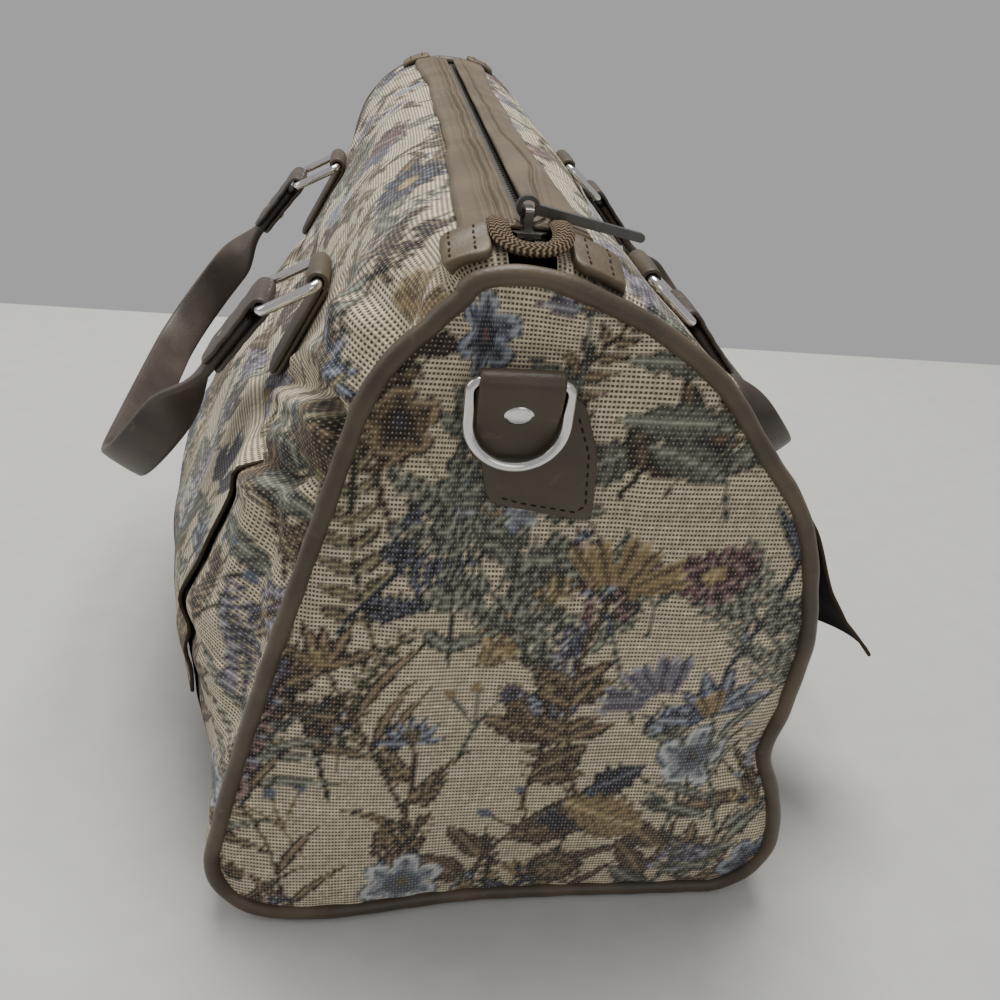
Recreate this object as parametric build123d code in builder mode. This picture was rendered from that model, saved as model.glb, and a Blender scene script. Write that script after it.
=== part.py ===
from build123d import *
import math
import os

# A soft carpet bag with a zip along its top, two handles on metal rings, a leather tab with a
# D-ring at each end and a flapped pocket on each side.
# It stands on the floor, z = 0, with its length along Y, its front end towards -Y and its
# width along X. The origin is on the floor under the middle of the bag.

# Overall sizes
bag_length = 414
bag_height = 264
base_width = 224
top_lean = -12  # the slack top has sagged this far to the left

# Cross-section of the wrap, as circles with straight cloth pulled tight between them
top_radius = 56
corner_radius = 26
end_shoulder_inset, end_shoulder_height, end_shoulder_radius = 17, 150, 70
end_flank_height, end_flank_radius = 110, 62
end_flank_fullness = 0.9  # beyond cloth pulled straight from the top to the corner
middle_corner_radius = 30
middle_right_inset, middle_right_height, middle_right_radius = 6, 118, 70
middle_left_bulge, middle_left_height, middle_left_radius = 30, 80, 76
base_bulge_right, base_bulge_left = 2, 10

# Cloth and leather
wall = 2.5  # tapestry with its interlining
seat_gap = 0.3  # between two soft pieces that are sewn together
lining_thickness = 0.8
base_seam_inset = 28  # from the bag's side to the seam of the flat base
lining_mouth_gap = 1.5  # beside the zip's tapes
board_thickness, board_side_gap, board_end_gap, board_corner = 3, 26, 12, 8
piping_radius = 3
end_panel_setback = 1.5  # behind the front of the piping

# Zip along the top
band_width, band_thickness = 15, 1.6
zip_half_opening = 6  # from the zip's middle to each band
wrap_half_opening = 7
trim_length, trim_width, trim_thickness, trim_corner, trim_half_opening = 17, 17, 2.8, 3, 9
tape_drop, tape_thickness, tape_inner, tape_width, tape_overrun = 4.5, 0.7, 1.5, 11.5, 3.5
tooth_pitch, tooth_length, tooth_height = 3.2, 1.5, 2.2
tooth_overlap, tooth_root, spine_width = 1.1, 1.9, 1.3
stop_length = 2
slider_length, slider_front_width, slider_rear_width = 15, 11, 9.4
slider_bevel_width, slider_bevel_length, slider_tail_bevel = 2, 3, 1
plate_thickness, slider_clearance, flange_thickness = 1.4, 0.3, 1.3
wedge_width, wedge_length = 2.4, 4
bridge_length, bridge_width, bridge_leg, bridge_bar, bridge_window = 10, 2.4, 1.5, 1.2, 5
bridge_corner = 1
pull_length, pull_thickness, pull_eye_radius, pull_hole_radius = 36, 2, 3.4, 2.1
pull_root_height, pull_tip_height = 3, 2.6
pull_rest_angle = 11  # below level, to the right

# Handles
handle_spacing = 190  # between the middles of a handle's two rings
ring_wire_radius, ring_inner_width, ring_bar_spacing, ring_corner = 2, 29, 24, 3.5
leather_thickness, leather_width = 1.8, 26
loop_clearance = 0.3  # between a wire and the leather folded round it
chape_height, chape_corner, chape_wall_height_left, chape_wall_height_right = 40, 5, 217, 225
ring_angle_left, ring_angle_right = 28, 40  # below level, outwards
handle_angle_left, handle_angle_right = 53, 49
handle_drop, handle_corner = 110, 40
strap_width, strap_thickness, strap_start, strap_twist_start, strap_twist_end = 20, 4, 7, 36, 68
handle_end_length, handle_end_corner = 34, 9
handle_rivet_place = 22
rivet_shank_radius, rivet_head_radius, rivet_head_height, rivet_clearance = 1.5, 4, 1.6, 0.1

# End tabs
d_wire_radius, d_inner_width, d_height, d_corner = 1.7, 25, 26.3, 3
d_center_offset, d_bar_height = -1.5, 229  # from the zip's middle, and above the floor
end_loop_width, end_loop_length = 22.5, 16
patch_width, patch_height, patch_thickness, patch_corner = 31, 38, 2, 6
patch_offset, patch_center_height, patch_tilt = 10, 204, 12
end_rivet_drop = 9

# Pockets
pocket_half_length, pocket_bottom, pocket_mouth, pocket_corner = 148, 24, 146, 12
pocket_thickness = 1.4
flap_half_length, flap_hem, flap_top = 150, 59, 168
flap_fold_y = -60  # the right flap lifts from here to its front corner
flap_tip_x, flap_tip_height = 161, 82
flap_slack = 0.8  # more room under the lifted part
flap_bow = 2.5  # of the lifted corner's edge, outwards
flap_seam = 1  # of the lifted part, under the flat part's edge

# Places worked out from the sizes above
half_length = bag_length / 2
half_width = base_width / 2
piping_center_y = half_length - piping_radius
wrap_half_length = half_length - 2 * piping_radius - seat_gap
end_panel_y = half_length - end_panel_setback
top_circle = (top_lean, bag_height - top_radius, top_radius)


def side_circle(reach, height, radius):
    """A circle (x, z, radius) whose side stands out to x = reach, at a height over the floor."""
    return (reach - math.copysign(radius, reach), height, radius)


def tangent_normal(first, second):
    """The outward direction in which the line that touches two circles of a section faces."""
    dx, dz = second[0] - first[0], second[1] - first[1]
    apart = math.hypot(dx, dz)
    along = (first[2] - second[2]) / apart
    across = math.sqrt(1 - along**2)
    return (along * dx + across * dz) / apart, (along * dz - across * dx) / apart


def taut_circle(first, second, fullness, height, radius):
    """A circle that stands out a little from the line that touches two others."""
    nx, nz = tangent_normal(first, second)
    line = first[0] * nx + first[1] * nz + first[2]
    return ((line + fullness - radius - nz * height) / nx, height, radius)


# Each section runs anticlockwise, seen from the front, from the bottom right corner
left_corner = side_circle(-half_width, corner_radius, corner_radius)
end_section = [
    side_circle(half_width, corner_radius, corner_radius),
    side_circle(half_width - end_shoulder_inset, end_shoulder_height, end_shoulder_radius),
    top_circle,
    taut_circle(
        top_circle, left_corner, end_flank_fullness, end_flank_height, end_flank_radius
    ),
    left_corner,
]
middle_section = [
    side_circle(half_width + base_bulge_right, middle_corner_radius, middle_corner_radius),
    side_circle(half_width - middle_right_inset, middle_right_height, middle_right_radius),
    top_circle,
    side_circle(-half_width - middle_left_bulge, middle_left_height, middle_left_radius),
    side_circle(-half_width - base_bulge_left, middle_corner_radius, middle_corner_radius),
]


def section_arcs(circles, grow):
    """The start, middle and end of each circle's arc on the outline, grown outwards."""
    normals = [tangent_normal(a, b) for a, b in zip(circles, circles[1:] + circles[:1])]
    arcs = []
    for (x, z, radius), first, last in zip(circles, normals[-1:] + normals[:-1], normals):
        turn = math.hypot(first[0] + last[0], first[1] + last[1])
        middle = ((first[0] + last[0]) / turn, (first[1] + last[1]) / turn)
        reach = radius + grow
        arcs.append([(x + reach * nx, z + reach * nz) for nx, nz in (first, middle, last)])
    return arcs


def section_edges(arcs):
    """Draws a section's arcs and the straight runs between them in the open line."""
    for arc, following in zip(arcs, arcs[1:] + arcs[:1]):
        ThreePointArc(*arc)
        Line(arc[2], following[0])


def section_face(circles, grow, y):
    """A section as a face across the bag at y."""
    arcs = section_arcs(circles, grow)
    with BuildSketch(Plane.XZ.offset(-y)) as face:
        with BuildLine():
            section_edges(arcs)
        make_face()
    return face.sketch


def bag_form(grow):
    """The whole wrap as a solid, fullest at its middle, grown outwards."""
    faces = [
        section_face(end_section, grow, -wrap_half_length),
        section_face(middle_section, grow, 0),
        section_face(end_section, grow, wrap_half_length),
    ]
    with BuildPart() as form:
        loft(faces)
    return form.part


def skin(inside, thickness):
    """A layer that follows the wrap, from inside outwards of the wrap's surface."""
    with BuildPart() as layer:
        add(bag_form(inside + thickness))
        add(bag_form(inside), mode=Mode.SUBTRACT)
    return layer.part


def wall_point(side, height, y):
    """The wrap's surface at a height and y: its x, and the outward direction of its section."""
    share = 1 - (y / wrap_half_length) ** 2
    found = []
    for circles in (end_section, middle_section):
        arcs = section_arcs(circles, 0)
        best = None
        for (cx, cz, radius), arc, following in zip(circles, arcs, arcs[1:] + arcs[:1]):
            low, high = sorted((arc[0][1], arc[2][1]))
            on_side = (arc[1][0] - cx) * side > 0
            if low <= height <= high and on_side and abs(height - cz) < radius:
                nz = (height - cz) / radius
                nx = side * math.sqrt(1 - nz**2)
                best = (cx + radius * nx, nx, nz)
            (x0, z0), (x1, z1) = arc[2], following[0]
            if min(z0, z1) <= height <= max(z0, z1) and z0 != z1 and (x0 + x1) * side > 0:
                run = math.hypot(x1 - x0, z1 - z0)
                at = x0 + (x1 - x0) * (height - z0) / (z1 - z0)
                best = (at, (z1 - z0) / run, (x0 - x1) / run)
        found.append(best)
    end, middle = found
    x = end[0] + (middle[0] - end[0]) * share
    nx = end[1] + (middle[1] - end[1]) * share
    nz = end[2] + (middle[2] - end[2]) * share
    turn = math.hypot(nx, nz)
    return x, nx / turn, nz / turn


parts = []


def finish(part, name):
    """Labels a finished piece and keeps it for writing."""
    part.label = name
    parts.append(part)


# Wrap: the two side panels and the flat base
wrap_skin = skin(-wall, wall)
base_half = half_width - base_seam_inset
big = 2 * bag_length

for side, name in ((-1, "side_panel_left"), (1, "side_panel_right")):
    edge = top_lean + side * wrap_half_opening
    with BuildPart() as side_panel:
        add(wrap_skin)
        with BuildSketch(Plane.XZ.offset(-big / 2)) as other_side:
            with Locations((edge - side * big / 2, bag_height)):
                Rectangle(big, bag_height)
            with Locations((side * (base_half + seat_gap) - side * big / 2, 0)):
                Rectangle(big, bag_height)
        extrude(amount=big, mode=Mode.SUBTRACT)
    finish(side_panel.part, name)

with BuildPart() as base_panel:
    with BuildSketch():
        Rectangle(2 * base_half, 2 * wrap_half_length)
    extrude(amount=wall)
finish(base_panel.part, "base_panel")

# Lining, open under the zip, and the stiff board that lies in it
lining_skin = skin(-wall - seat_gap - lining_thickness, lining_thickness)
with BuildPart() as lining:
    add(lining_skin)
    with BuildSketch(Plane.XY.offset(bag_height - top_radius)) as lining_mouth:
        with Locations((top_lean, 0)):
            Rectangle(2 * (tape_inner + tape_width + lining_mouth_gap), big)
    extrude(amount=big, mode=Mode.SUBTRACT)
finish(lining.part, "lining")

with BuildPart() as base_board:
    with BuildSketch(Plane.XY.offset(wall + 2 * seat_gap + lining_thickness)):
        RectangleRounded(
            base_width - 2 * board_side_gap, bag_length - 2 * board_end_gap, board_corner
        )
    extrude(amount=board_thickness)
finish(base_board.part, "base_board")

# End panels and the piping round them
piping_arcs = section_arcs(end_section, -piping_radius)
panel_arcs = section_arcs(end_section, -2 * piping_radius - seat_gap)
for side, place in ((-1, "front"), (1, "rear")):
    with BuildPart() as end_panel:
        with BuildSketch(Plane.XZ.offset(-side * end_panel_y)) as panel_face:
            with BuildLine():
                section_edges(panel_arcs)
            make_face()
        extrude(amount=wall * side)
    finish(end_panel.part, f"end_panel_{place}")

    with BuildPart() as piping:
        with BuildLine(Plane.XZ.offset(-side * piping_center_y)) as seam:
            section_edges(piping_arcs)
        with BuildSketch(Plane(seam.line @ 0, z_dir=seam.line % 0)):
            Circle(piping_radius)
        sweep(path=seam.line)
    finish(piping.part, f"piping_{place}")

# Leather bands along the zip, and the folded leather trims at their ends
band_half_length = wrap_half_length - trim_length - seat_gap
band_skin = skin(seat_gap, band_thickness)
trim_skin = skin(seat_gap, trim_thickness)
top_plane = Plane.XY.offset(bag_height - top_radius / 2)
for side, name in ((-1, "left"), (1, "right")):
    with BuildPart() as top_band:
        with BuildSketch(top_plane):
            with Locations((top_lean + side * (zip_half_opening + band_width / 2), 0)):
                Rectangle(band_width, 2 * band_half_length)
        extrude(amount=top_radius)
        add(band_skin, mode=Mode.INTERSECT)
    finish(top_band.part, f"top_band_{name}")

    for end, place in ((-1, "front"), (1, "rear")):
        trim_center = (
            top_lean + side * (trim_half_opening + trim_width / 2),
            end * (wrap_half_length - trim_length / 2),
        )
        with BuildPart() as trim:
            with BuildSketch(top_plane):
                with Locations(trim_center):
                    RectangleRounded(trim_width, trim_length, trim_corner)
            extrude(amount=top_radius)
            add(trim_skin, mode=Mode.INTERSECT)
        finish(trim.part, f"zip_trim_{place}_{name}")

# Zip: tapes, teeth and stops
tape_top = bag_height - tape_drop
tape_bottom = tape_top - tape_thickness
zip_front = -band_half_length - stop_length - tape_overrun
zip_rear = band_half_length
slider_y = zip_front + stop_length + slider_clearance + slider_length / 2
teeth_front = slider_y - slider_length / 2 + wedge_length + slider_clearance
teeth_rear = zip_rear - 2 * stop_length
tooth_count = int((teeth_rear - teeth_front) / tooth_pitch)

for side, name in ((-1, "left"), (1, "right")):
    with BuildPart() as tape:
        with BuildSketch(Plane.XY.offset(tape_bottom)):
            tape_center = top_lean + side * (tape_inner + tape_width / 2)
            with Locations((tape_center, (zip_front + zip_rear) / 2)):
                Rectangle(tape_width, zip_rear - zip_front)
        extrude(amount=tape_thickness)
    finish(tape.part, f"zip_tape_{name}")

    row_start = teeth_front + tooth_length / 2 + (tooth_pitch / 2 if side > 0 else 0)
    row_end = row_start + (tooth_count - 1) * tooth_pitch
    tooth_places = [
        (top_lean + side * (tooth_root - tooth_overlap) / 2, row_start + i * tooth_pitch)
        for i in range(tooth_count)
    ]
    with BuildPart() as teeth:
        with BuildSketch(Plane.XY.offset(tape_top)):
            with Locations(
                (top_lean + side * (tooth_root + spine_width / 2), (row_start + row_end) / 2)
            ):
                Rectangle(spine_width, row_end - row_start + tooth_length)
            with Locations(*tooth_places):
                Rectangle(tooth_root + tooth_overlap, tooth_length)
        extrude(amount=tooth_height)
    finish(teeth.part, f"zip_teeth_{name}")

with BuildPart() as zip_top_stops:
    stop_x = tape_inner + spine_width
    with BuildSketch(Plane.XY.offset(tape_top)):
        with Locations(
            (top_lean - stop_x, zip_front + stop_length / 2),
            (top_lean + stop_x, zip_front + stop_length / 2),
        ):
            Rectangle(2 * spine_width, stop_length)
    extrude(amount=tooth_height)
finish(zip_top_stops.part, "zip_top_stops")

with BuildPart() as zip_bottom_stop:
    with BuildSketch(Plane.XY.offset(tape_top)):
        with Locations((top_lean, teeth_rear + tooth_pitch + stop_length / 2)):
            Rectangle(2 * (tooth_root + spine_width), stop_length)
    extrude(amount=tooth_height)
finish(zip_bottom_stop.part, "zip_bottom_stop")

# Slider, with its plates, flanges, wedge and bridge
slider_top = tape_top + tooth_height + slider_clearance
slider_bottom = tape_bottom - slider_clearance
front_y, rear_y = slider_y - slider_length / 2, slider_y + slider_length / 2
slider_outline = [
    (top_lean - slider_front_width / 2, front_y + slider_bevel_length),
    (top_lean - slider_front_width / 2 + slider_bevel_width, front_y),
    (top_lean + slider_front_width / 2 - slider_bevel_width, front_y),
    (top_lean + slider_front_width / 2, front_y + slider_bevel_length),
    (top_lean + slider_rear_width / 2, rear_y - slider_tail_bevel),
    (top_lean + slider_rear_width / 2 - slider_tail_bevel, rear_y),
    (top_lean - slider_rear_width / 2 + slider_tail_bevel, rear_y),
    (top_lean - slider_rear_width / 2, rear_y - slider_tail_bevel),
]
bridge_foot = slider_top + plate_thickness
bridge_axis_z = bridge_foot + bridge_window + bridge_bar / 2
with BuildPart() as zip_slider:
    for level in (slider_bottom - plate_thickness, slider_top):
        with BuildSketch(Plane.XY.offset(level)):
            Polygon(*slider_outline, align=None)
        extrude(amount=plate_thickness)
    for side in (-1, 1):
        flange_front_x = top_lean + side * (slider_front_width / 2 - flange_thickness)
        flange_rear_x = top_lean + side * (slider_rear_width / 2 - flange_thickness)
        with BuildSketch(Plane.XY.offset(tape_top + slider_clearance)) as flange:
            Polygon(
                (top_lean + side * slider_front_width / 2, front_y + slider_bevel_length),
                (top_lean + side * slider_rear_width / 2, rear_y - slider_tail_bevel),
                (flange_rear_x, rear_y - slider_tail_bevel),
                (flange_front_x, front_y + slider_bevel_length),
                align=None,
            )
        extrude(amount=slider_top - tape_top - slider_clearance)
    with BuildSketch(Plane.XY.offset(slider_bottom)) as wedge:
        with Locations((top_lean, front_y + wedge_length / 2)):
            Rectangle(wedge_width, wedge_length)
    extrude(amount=slider_top - slider_bottom)
    with BuildSketch(Plane.YZ.offset(top_lean - bridge_width / 2)) as bridge:
        with Locations((slider_y, bridge_foot + (bridge_window + bridge_bar) / 2)):
            Rectangle(bridge_length, bridge_window + bridge_bar)
        with Locations((slider_y, bridge_foot + bridge_window / 2)):
            Rectangle(bridge_length - 2 * bridge_leg, bridge_window, mode=Mode.SUBTRACT)
        fillet(bridge.vertices().group_by(Axis.Y)[-1], radius=bridge_corner)
    extrude(amount=bridge_width)
finish(zip_slider.part, "zip_slider")

pull_plane = Plane(
    origin=(top_lean, slider_y, bridge_axis_z),
    x_dir=(math.cos(math.radians(pull_rest_angle)), 0, -math.sin(math.radians(pull_rest_angle))),
    z_dir=(0, -1, 0),
)
with BuildPart() as zip_pull:
    with BuildSketch(pull_plane):
        Circle(pull_eye_radius)
        Polygon(
            (0, pull_root_height / 2),
            (0, -pull_root_height / 2),
            (pull_length - pull_tip_height / 2, -pull_tip_height / 2),
            (pull_length - pull_tip_height / 2, pull_tip_height / 2),
            align=None,
        )
        with Locations((pull_length - pull_tip_height / 2, 0)):
            Circle(pull_tip_height / 2)
        Circle(pull_hole_radius, mode=Mode.SUBTRACT)
    extrude(amount=pull_thickness / 2, both=True)
finish(zip_pull.part, "zip_pull")


# Handle rings, chapes, straps, leather ends and rivets
def rivet(plane, depth):
    """A rivet with a domed head on the plane and a shank below it."""
    with BuildPart() as made:
        dome_radius = (rivet_head_radius**2 + rivet_head_height**2) / (2 * rivet_head_height)
        with BuildSketch(Plane(plane.origin, x_dir=plane.x_dir, z_dir=plane.y_dir * -1)):
            with BuildLine():
                Polyline(
                    (0, rivet_head_height),
                    (0, -depth),
                    (rivet_shank_radius, -depth),
                    (rivet_shank_radius, 0),
                    (rivet_head_radius, 0),
                )
                RadiusArc((rivet_head_radius, 0), (0, rivet_head_height), -dome_radius)
            make_face()
        revolve(axis=Axis(plane.origin, plane.z_dir))
    return made.part


def hairpin(plane, bore, length, width):
    """Leather folded round a wire on the plane's z axis, with both legs along its x axis."""
    outside = bore + leather_thickness
    with BuildPart() as made:
        with BuildSketch(plane):
            Circle(outside)
            with Locations((length / 2, 0)):
                Rectangle(length, 2 * outside)
            Circle(bore, mode=Mode.SUBTRACT)
            with Locations((length / 2, 0)):
                Rectangle(length, 2 * bore, mode=Mode.SUBTRACT)
        extrude(amount=width / 2, both=True)
    return made.part


ring_bore = ring_wire_radius + loop_clearance
loop_outside = ring_bore + leather_thickness
chape_skin = skin(seat_gap, 2 * leather_thickness)
handle_sides = (
    (-1, "left", chape_wall_height_left, ring_angle_left, handle_angle_left),
    (1, "right", chape_wall_height_right, ring_angle_right, handle_angle_right),
)
for side, name, wall_height, ring_angle, handle_angle in handle_sides:
    wall_x, normal_x, normal_z = wall_point(side, wall_height, handle_spacing / 2)
    stand_off = seat_gap + loop_outside
    chape_x, chape_z = wall_x + stand_off * normal_x, wall_height + stand_off * normal_z
    ring_dir = (side * math.cos(math.radians(ring_angle)), 0, -math.sin(math.radians(ring_angle)))
    strap_dir = (
        side * math.cos(math.radians(handle_angle)),
        0,
        -math.sin(math.radians(handle_angle)),
    )
    strap_normal = Vector(0, 1, 0).cross(Vector(strap_dir))
    bar_x = chape_x + ring_bar_spacing * ring_dir[0]
    bar_z = chape_z + ring_bar_spacing * ring_dir[2]

    for end, place in ((-1, "front"), (1, "rear")):
        middle_y = end * handle_spacing / 2
        with BuildPart() as chape:
            with BuildSketch(Plane.YZ) as chape_outline:
                with Locations((middle_y, chape_z - chape_height / 2)):
                    RectangleRounded(leather_width, chape_height, chape_corner)
                with Locations((middle_y, chape_z - chape_height / 4)):
                    Rectangle(leather_width, chape_height / 2)
            extrude(amount=side * big)
            add(chape_skin, mode=Mode.INTERSECT)
            with BuildSketch(Plane.XZ.offset(-middle_y)) as chape_fold:
                with Locations((chape_x, chape_z)):
                    Circle(loop_outside)
            extrude(amount=leather_width / 2, both=True)
            with BuildSketch(Plane.XZ.offset(-middle_y)) as chape_bore:
                with Locations((chape_x, chape_z)):
                    Circle(ring_bore)
            extrude(amount=leather_width, both=True, mode=Mode.SUBTRACT)
        finish(chape.part, f"chape_{name}_{place}")

        ring_normal = Vector(ring_dir).cross(Vector(0, 1, 0))
        ring_plane = Plane((chape_x, middle_y, chape_z), x_dir=ring_dir, z_dir=ring_normal)
        half_ring = ring_inner_width / 2 + ring_wire_radius
        with BuildPart() as ring:
            with BuildLine(ring_plane) as ring_path:
                FilletPolyline(
                    (0, -half_ring),
                    (0, half_ring),
                    (ring_bar_spacing, half_ring),
                    (ring_bar_spacing, -half_ring),
                    radius=ring_corner,
                    close=True,
                )
            with BuildSketch(Plane(ring_path.line @ 0, z_dir=ring_path.line % 0)):
                Circle(ring_wire_radius)
            sweep(path=ring_path.line)
        finish(ring.part, f"ring_{name}_{place}")

        end_plane = Plane((bar_x, middle_y, bar_z), x_dir=strap_dir, z_dir=(0, 1, 0))
        rivet_dir = strap_normal * side
        rivet_foot = Vector(bar_x, middle_y, bar_z) + Vector(strap_dir) * handle_rivet_place
        rivet_plane = Plane(
            rivet_foot + rivet_dir * loop_outside, x_dir=(0, 1, 0), z_dir=rivet_dir
        )
        with BuildPart() as handle_end:
            add(hairpin(end_plane, ring_bore, handle_end_length, leather_width))
            across_tip = handle_end.edges().filter_by(Axis(end_plane.origin, strap_normal))
            tip_corners = across_tip.group_by(Axis(end_plane.origin, end_plane.x_dir))[-1]
            fillet(tip_corners, radius=handle_end_corner)
            with Locations(rivet_plane):
                Cylinder(
                    rivet_shank_radius + rivet_clearance, handle_end_length, mode=Mode.SUBTRACT
                )
        finish(handle_end.part, f"handle_end_{name}_{place}")
        finish(rivet(rivet_plane, 2 * loop_outside), f"handle_rivet_{name}_{place}")

    strap_plane = Plane((bar_x, 0, bar_z), x_dir=(0, 1, 0), z_dir=strap_normal)
    half_spacing = handle_spacing / 2
    with BuildPart() as strap:
        with BuildLine(strap_plane) as belt_path:
            FilletPolyline(
                (-half_spacing, strap_twist_end),
                (-half_spacing, handle_drop),
                (half_spacing, handle_drop),
                (half_spacing, strap_twist_end),
                radius=handle_corner,
            )
        belt_start = Plane(
            belt_path.line @ 0, x_dir=strap_plane.z_dir, z_dir=belt_path.line % 0
        )
        with BuildSketch(belt_start):
            Rectangle(strap_width, strap_thickness)
        sweep(path=belt_path.line)
        for end in (-1, 1):
            with BuildSketch(strap_plane) as flat_end:
                with Locations((end * half_spacing, (strap_start + strap_twist_start) / 2)):
                    Rectangle(strap_width, strap_twist_start - strap_start)
            extrude(amount=strap_thickness / 2, both=True)
            turns = 4
            faces = []
            for turn in range(turns + 1):
                along = strap_twist_start + (strap_twist_end - strap_twist_start) * turn / turns
                station = strap_plane.from_local_coords(Vector(end * half_spacing, along, 0))
                twist = math.radians(90 * turn / turns)
                level = Vector(0, math.cos(twist), 0)
                steep = strap_plane.z_dir * (end * math.sin(twist))
                twist_plane = Plane(station, x_dir=level + steep, z_dir=strap_plane.y_dir)
                with BuildSketch(twist_plane, mode=Mode.PRIVATE) as twisted:
                    Rectangle(strap_width, strap_thickness)
                faces.append(twisted.sketch)
            loft(faces, ruled=True)
        for end in (-1, 1):
            hole = strap_plane.from_local_coords(
                Vector(end * half_spacing, handle_rivet_place, 0)
            )
            with Locations(Plane(hole, z_dir=strap_plane.z_dir)):
                Cylinder(
                    rivet_shank_radius + rivet_clearance, 2 * strap_thickness, mode=Mode.SUBTRACT
                )
    finish(strap.part, f"handle_strap_{name}")

# End tabs with their D-rings
d_bore = d_wire_radius + loop_clearance
d_x = top_lean + d_center_offset
for side, place in ((-1, "front"), (1, "rear")):
    patch_face = end_panel_y + seat_gap + patch_thickness
    d_y = patch_face + seat_gap + d_bore + leather_thickness
    rivet_z = d_bar_height - end_rivet_drop
    rivet_depth = d_y + d_bore + leather_thickness - (end_panel_y + seat_gap)
    rivet_plane = Plane(
        (d_x, side * (d_y + d_bore + leather_thickness), rivet_z),
        x_dir=(1, 0, 0),
        z_dir=(0, side, 0),
    )

    with BuildPart() as patch:
        with BuildSketch(Plane.XZ.offset(-side * (end_panel_y + seat_gap))):
            with Locations(Location((top_lean + patch_offset, patch_center_height), patch_tilt)):
                RectangleRounded(patch_width, patch_height, patch_corner)
        extrude(amount=-side * patch_thickness)
        with Locations(rivet_plane):
            Cylinder(rivet_shank_radius + rivet_clearance, patch_height, mode=Mode.SUBTRACT)
    finish(patch.part, f"end_patch_{place}")

    loop_plane = Plane((d_x, side * d_y, d_bar_height), x_dir=(0, 0, -1), z_dir=(1, 0, 0))
    with BuildPart() as end_loop:
        add(hairpin(loop_plane, d_bore, end_loop_length, end_loop_width))
        with Locations(rivet_plane):
            Cylinder(rivet_shank_radius + rivet_clearance, patch_height, mode=Mode.SUBTRACT)
    finish(end_loop.part, f"end_loop_{place}")
    finish(rivet(rivet_plane, rivet_depth), f"end_rivet_{place}")

    half_d = d_inner_width / 2 + d_wire_radius
    bow_start = (half_d, half_d - d_height)
    bow_end = (-half_d, half_d - d_height)
    d_plane = Plane((d_x, side * d_y, d_bar_height), x_dir=(1, 0, 0), z_dir=(0, -1, 0))
    with BuildPart() as d_ring:
        with BuildLine(d_plane) as d_path:
            FilletPolyline(bow_end, (-half_d, 0), (half_d, 0), bow_start, radius=d_corner)
            ThreePointArc(bow_start, (0, -d_height), bow_end)
        with BuildSketch(Plane(d_path.line @ 0, z_dir=d_path.line % 0)):
            Circle(d_wire_radius)
        sweep(path=d_path.line)
    finish(d_ring.part, f"d_ring_{place}")

# Pockets and their flaps
def lifted_face(y, tip):
    """The right flap's section at y, lying on the pocket, or lifted with its hem at the tip."""
    inner, outer = [], []
    inner_gap = 2 * seat_gap + pocket_thickness + flap_slack
    outer_gap = inner_gap + pocket_thickness
    for height in (flap_top, (flap_top + flap_hem) / 2, flap_hem):
        x, nx, nz = wall_point(1, height, y)
        inner.append((x + inner_gap * nx, height + inner_gap * nz))
        outer.append((x + outer_gap * nx, height + outer_gap * nz))
    if tip:
        root_x, root_z = inner[0]
        run = math.hypot(tip[0] - root_x, tip[1] - root_z)
        nx, nz = (root_z - tip[1]) / run, (tip[0] - root_x) / run
        middle_x, middle_z = (root_x + tip[0]) / 2, (root_z + tip[1]) / 2
        inner[1] = (middle_x + flap_bow * nx, middle_z + flap_bow * nz)
        inner[2] = tip
        for place in (1, 2):
            x, z = inner[place]
            outer[place] = (x + pocket_thickness * nx, z + pocket_thickness * nz)
    with BuildSketch(Plane.XZ.offset(-y), mode=Mode.PRIVATE) as flap_face:
        with BuildLine():
            ThreePointArc(*inner)
            Line(inner[2], outer[2])
            ThreePointArc(*reversed(outer))
            Line(outer[0], inner[0])
        make_face()
    return flap_face.sketch


pocket_skin = skin(seat_gap, pocket_thickness)
flap_skin = skin(2 * seat_gap + pocket_thickness, pocket_thickness)
for side, name in ((-1, "left"), (1, "right")):
    with BuildPart() as pocket:
        with BuildSketch(Plane.YZ):
            with Locations((0, (pocket_bottom + pocket_mouth) / 2)):
                RectangleRounded(
                    2 * pocket_half_length, pocket_mouth - pocket_bottom, pocket_corner
                )
        extrude(amount=side * big)
        add(pocket_skin, mode=Mode.INTERSECT)
    finish(pocket.part, f"pocket_{name}")

    flap_front = -flap_half_length if side < 0 else flap_fold_y
    with BuildPart() as flap:
        with BuildSketch(Plane.YZ):
            with Locations(((flap_front + flap_half_length) / 2, (flap_hem + flap_top) / 2)):
                Rectangle(flap_half_length - flap_front, flap_top - flap_hem)
        extrude(amount=side * big)
        add(flap_skin, mode=Mode.INTERSECT)
        if side > 0:
            flap_faces = [
                lifted_face(flap_fold_y + flap_seam, None),
                lifted_face(-flap_half_length, (flap_tip_x, flap_tip_height)),
            ]
            loft(flap_faces, ruled=True)
            add(bag_form(2 * seat_gap + pocket_thickness), mode=Mode.SUBTRACT)
    finish(flap.part, f"flap_{name}")

os.makedirs("parts", exist_ok=True)
for part in parts:
    export_step(part, f"parts/{part.label}.step")
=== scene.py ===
import math

import bmesh
import bpy
import numpy as np
from mathutils import Matrix, Vector


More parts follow.
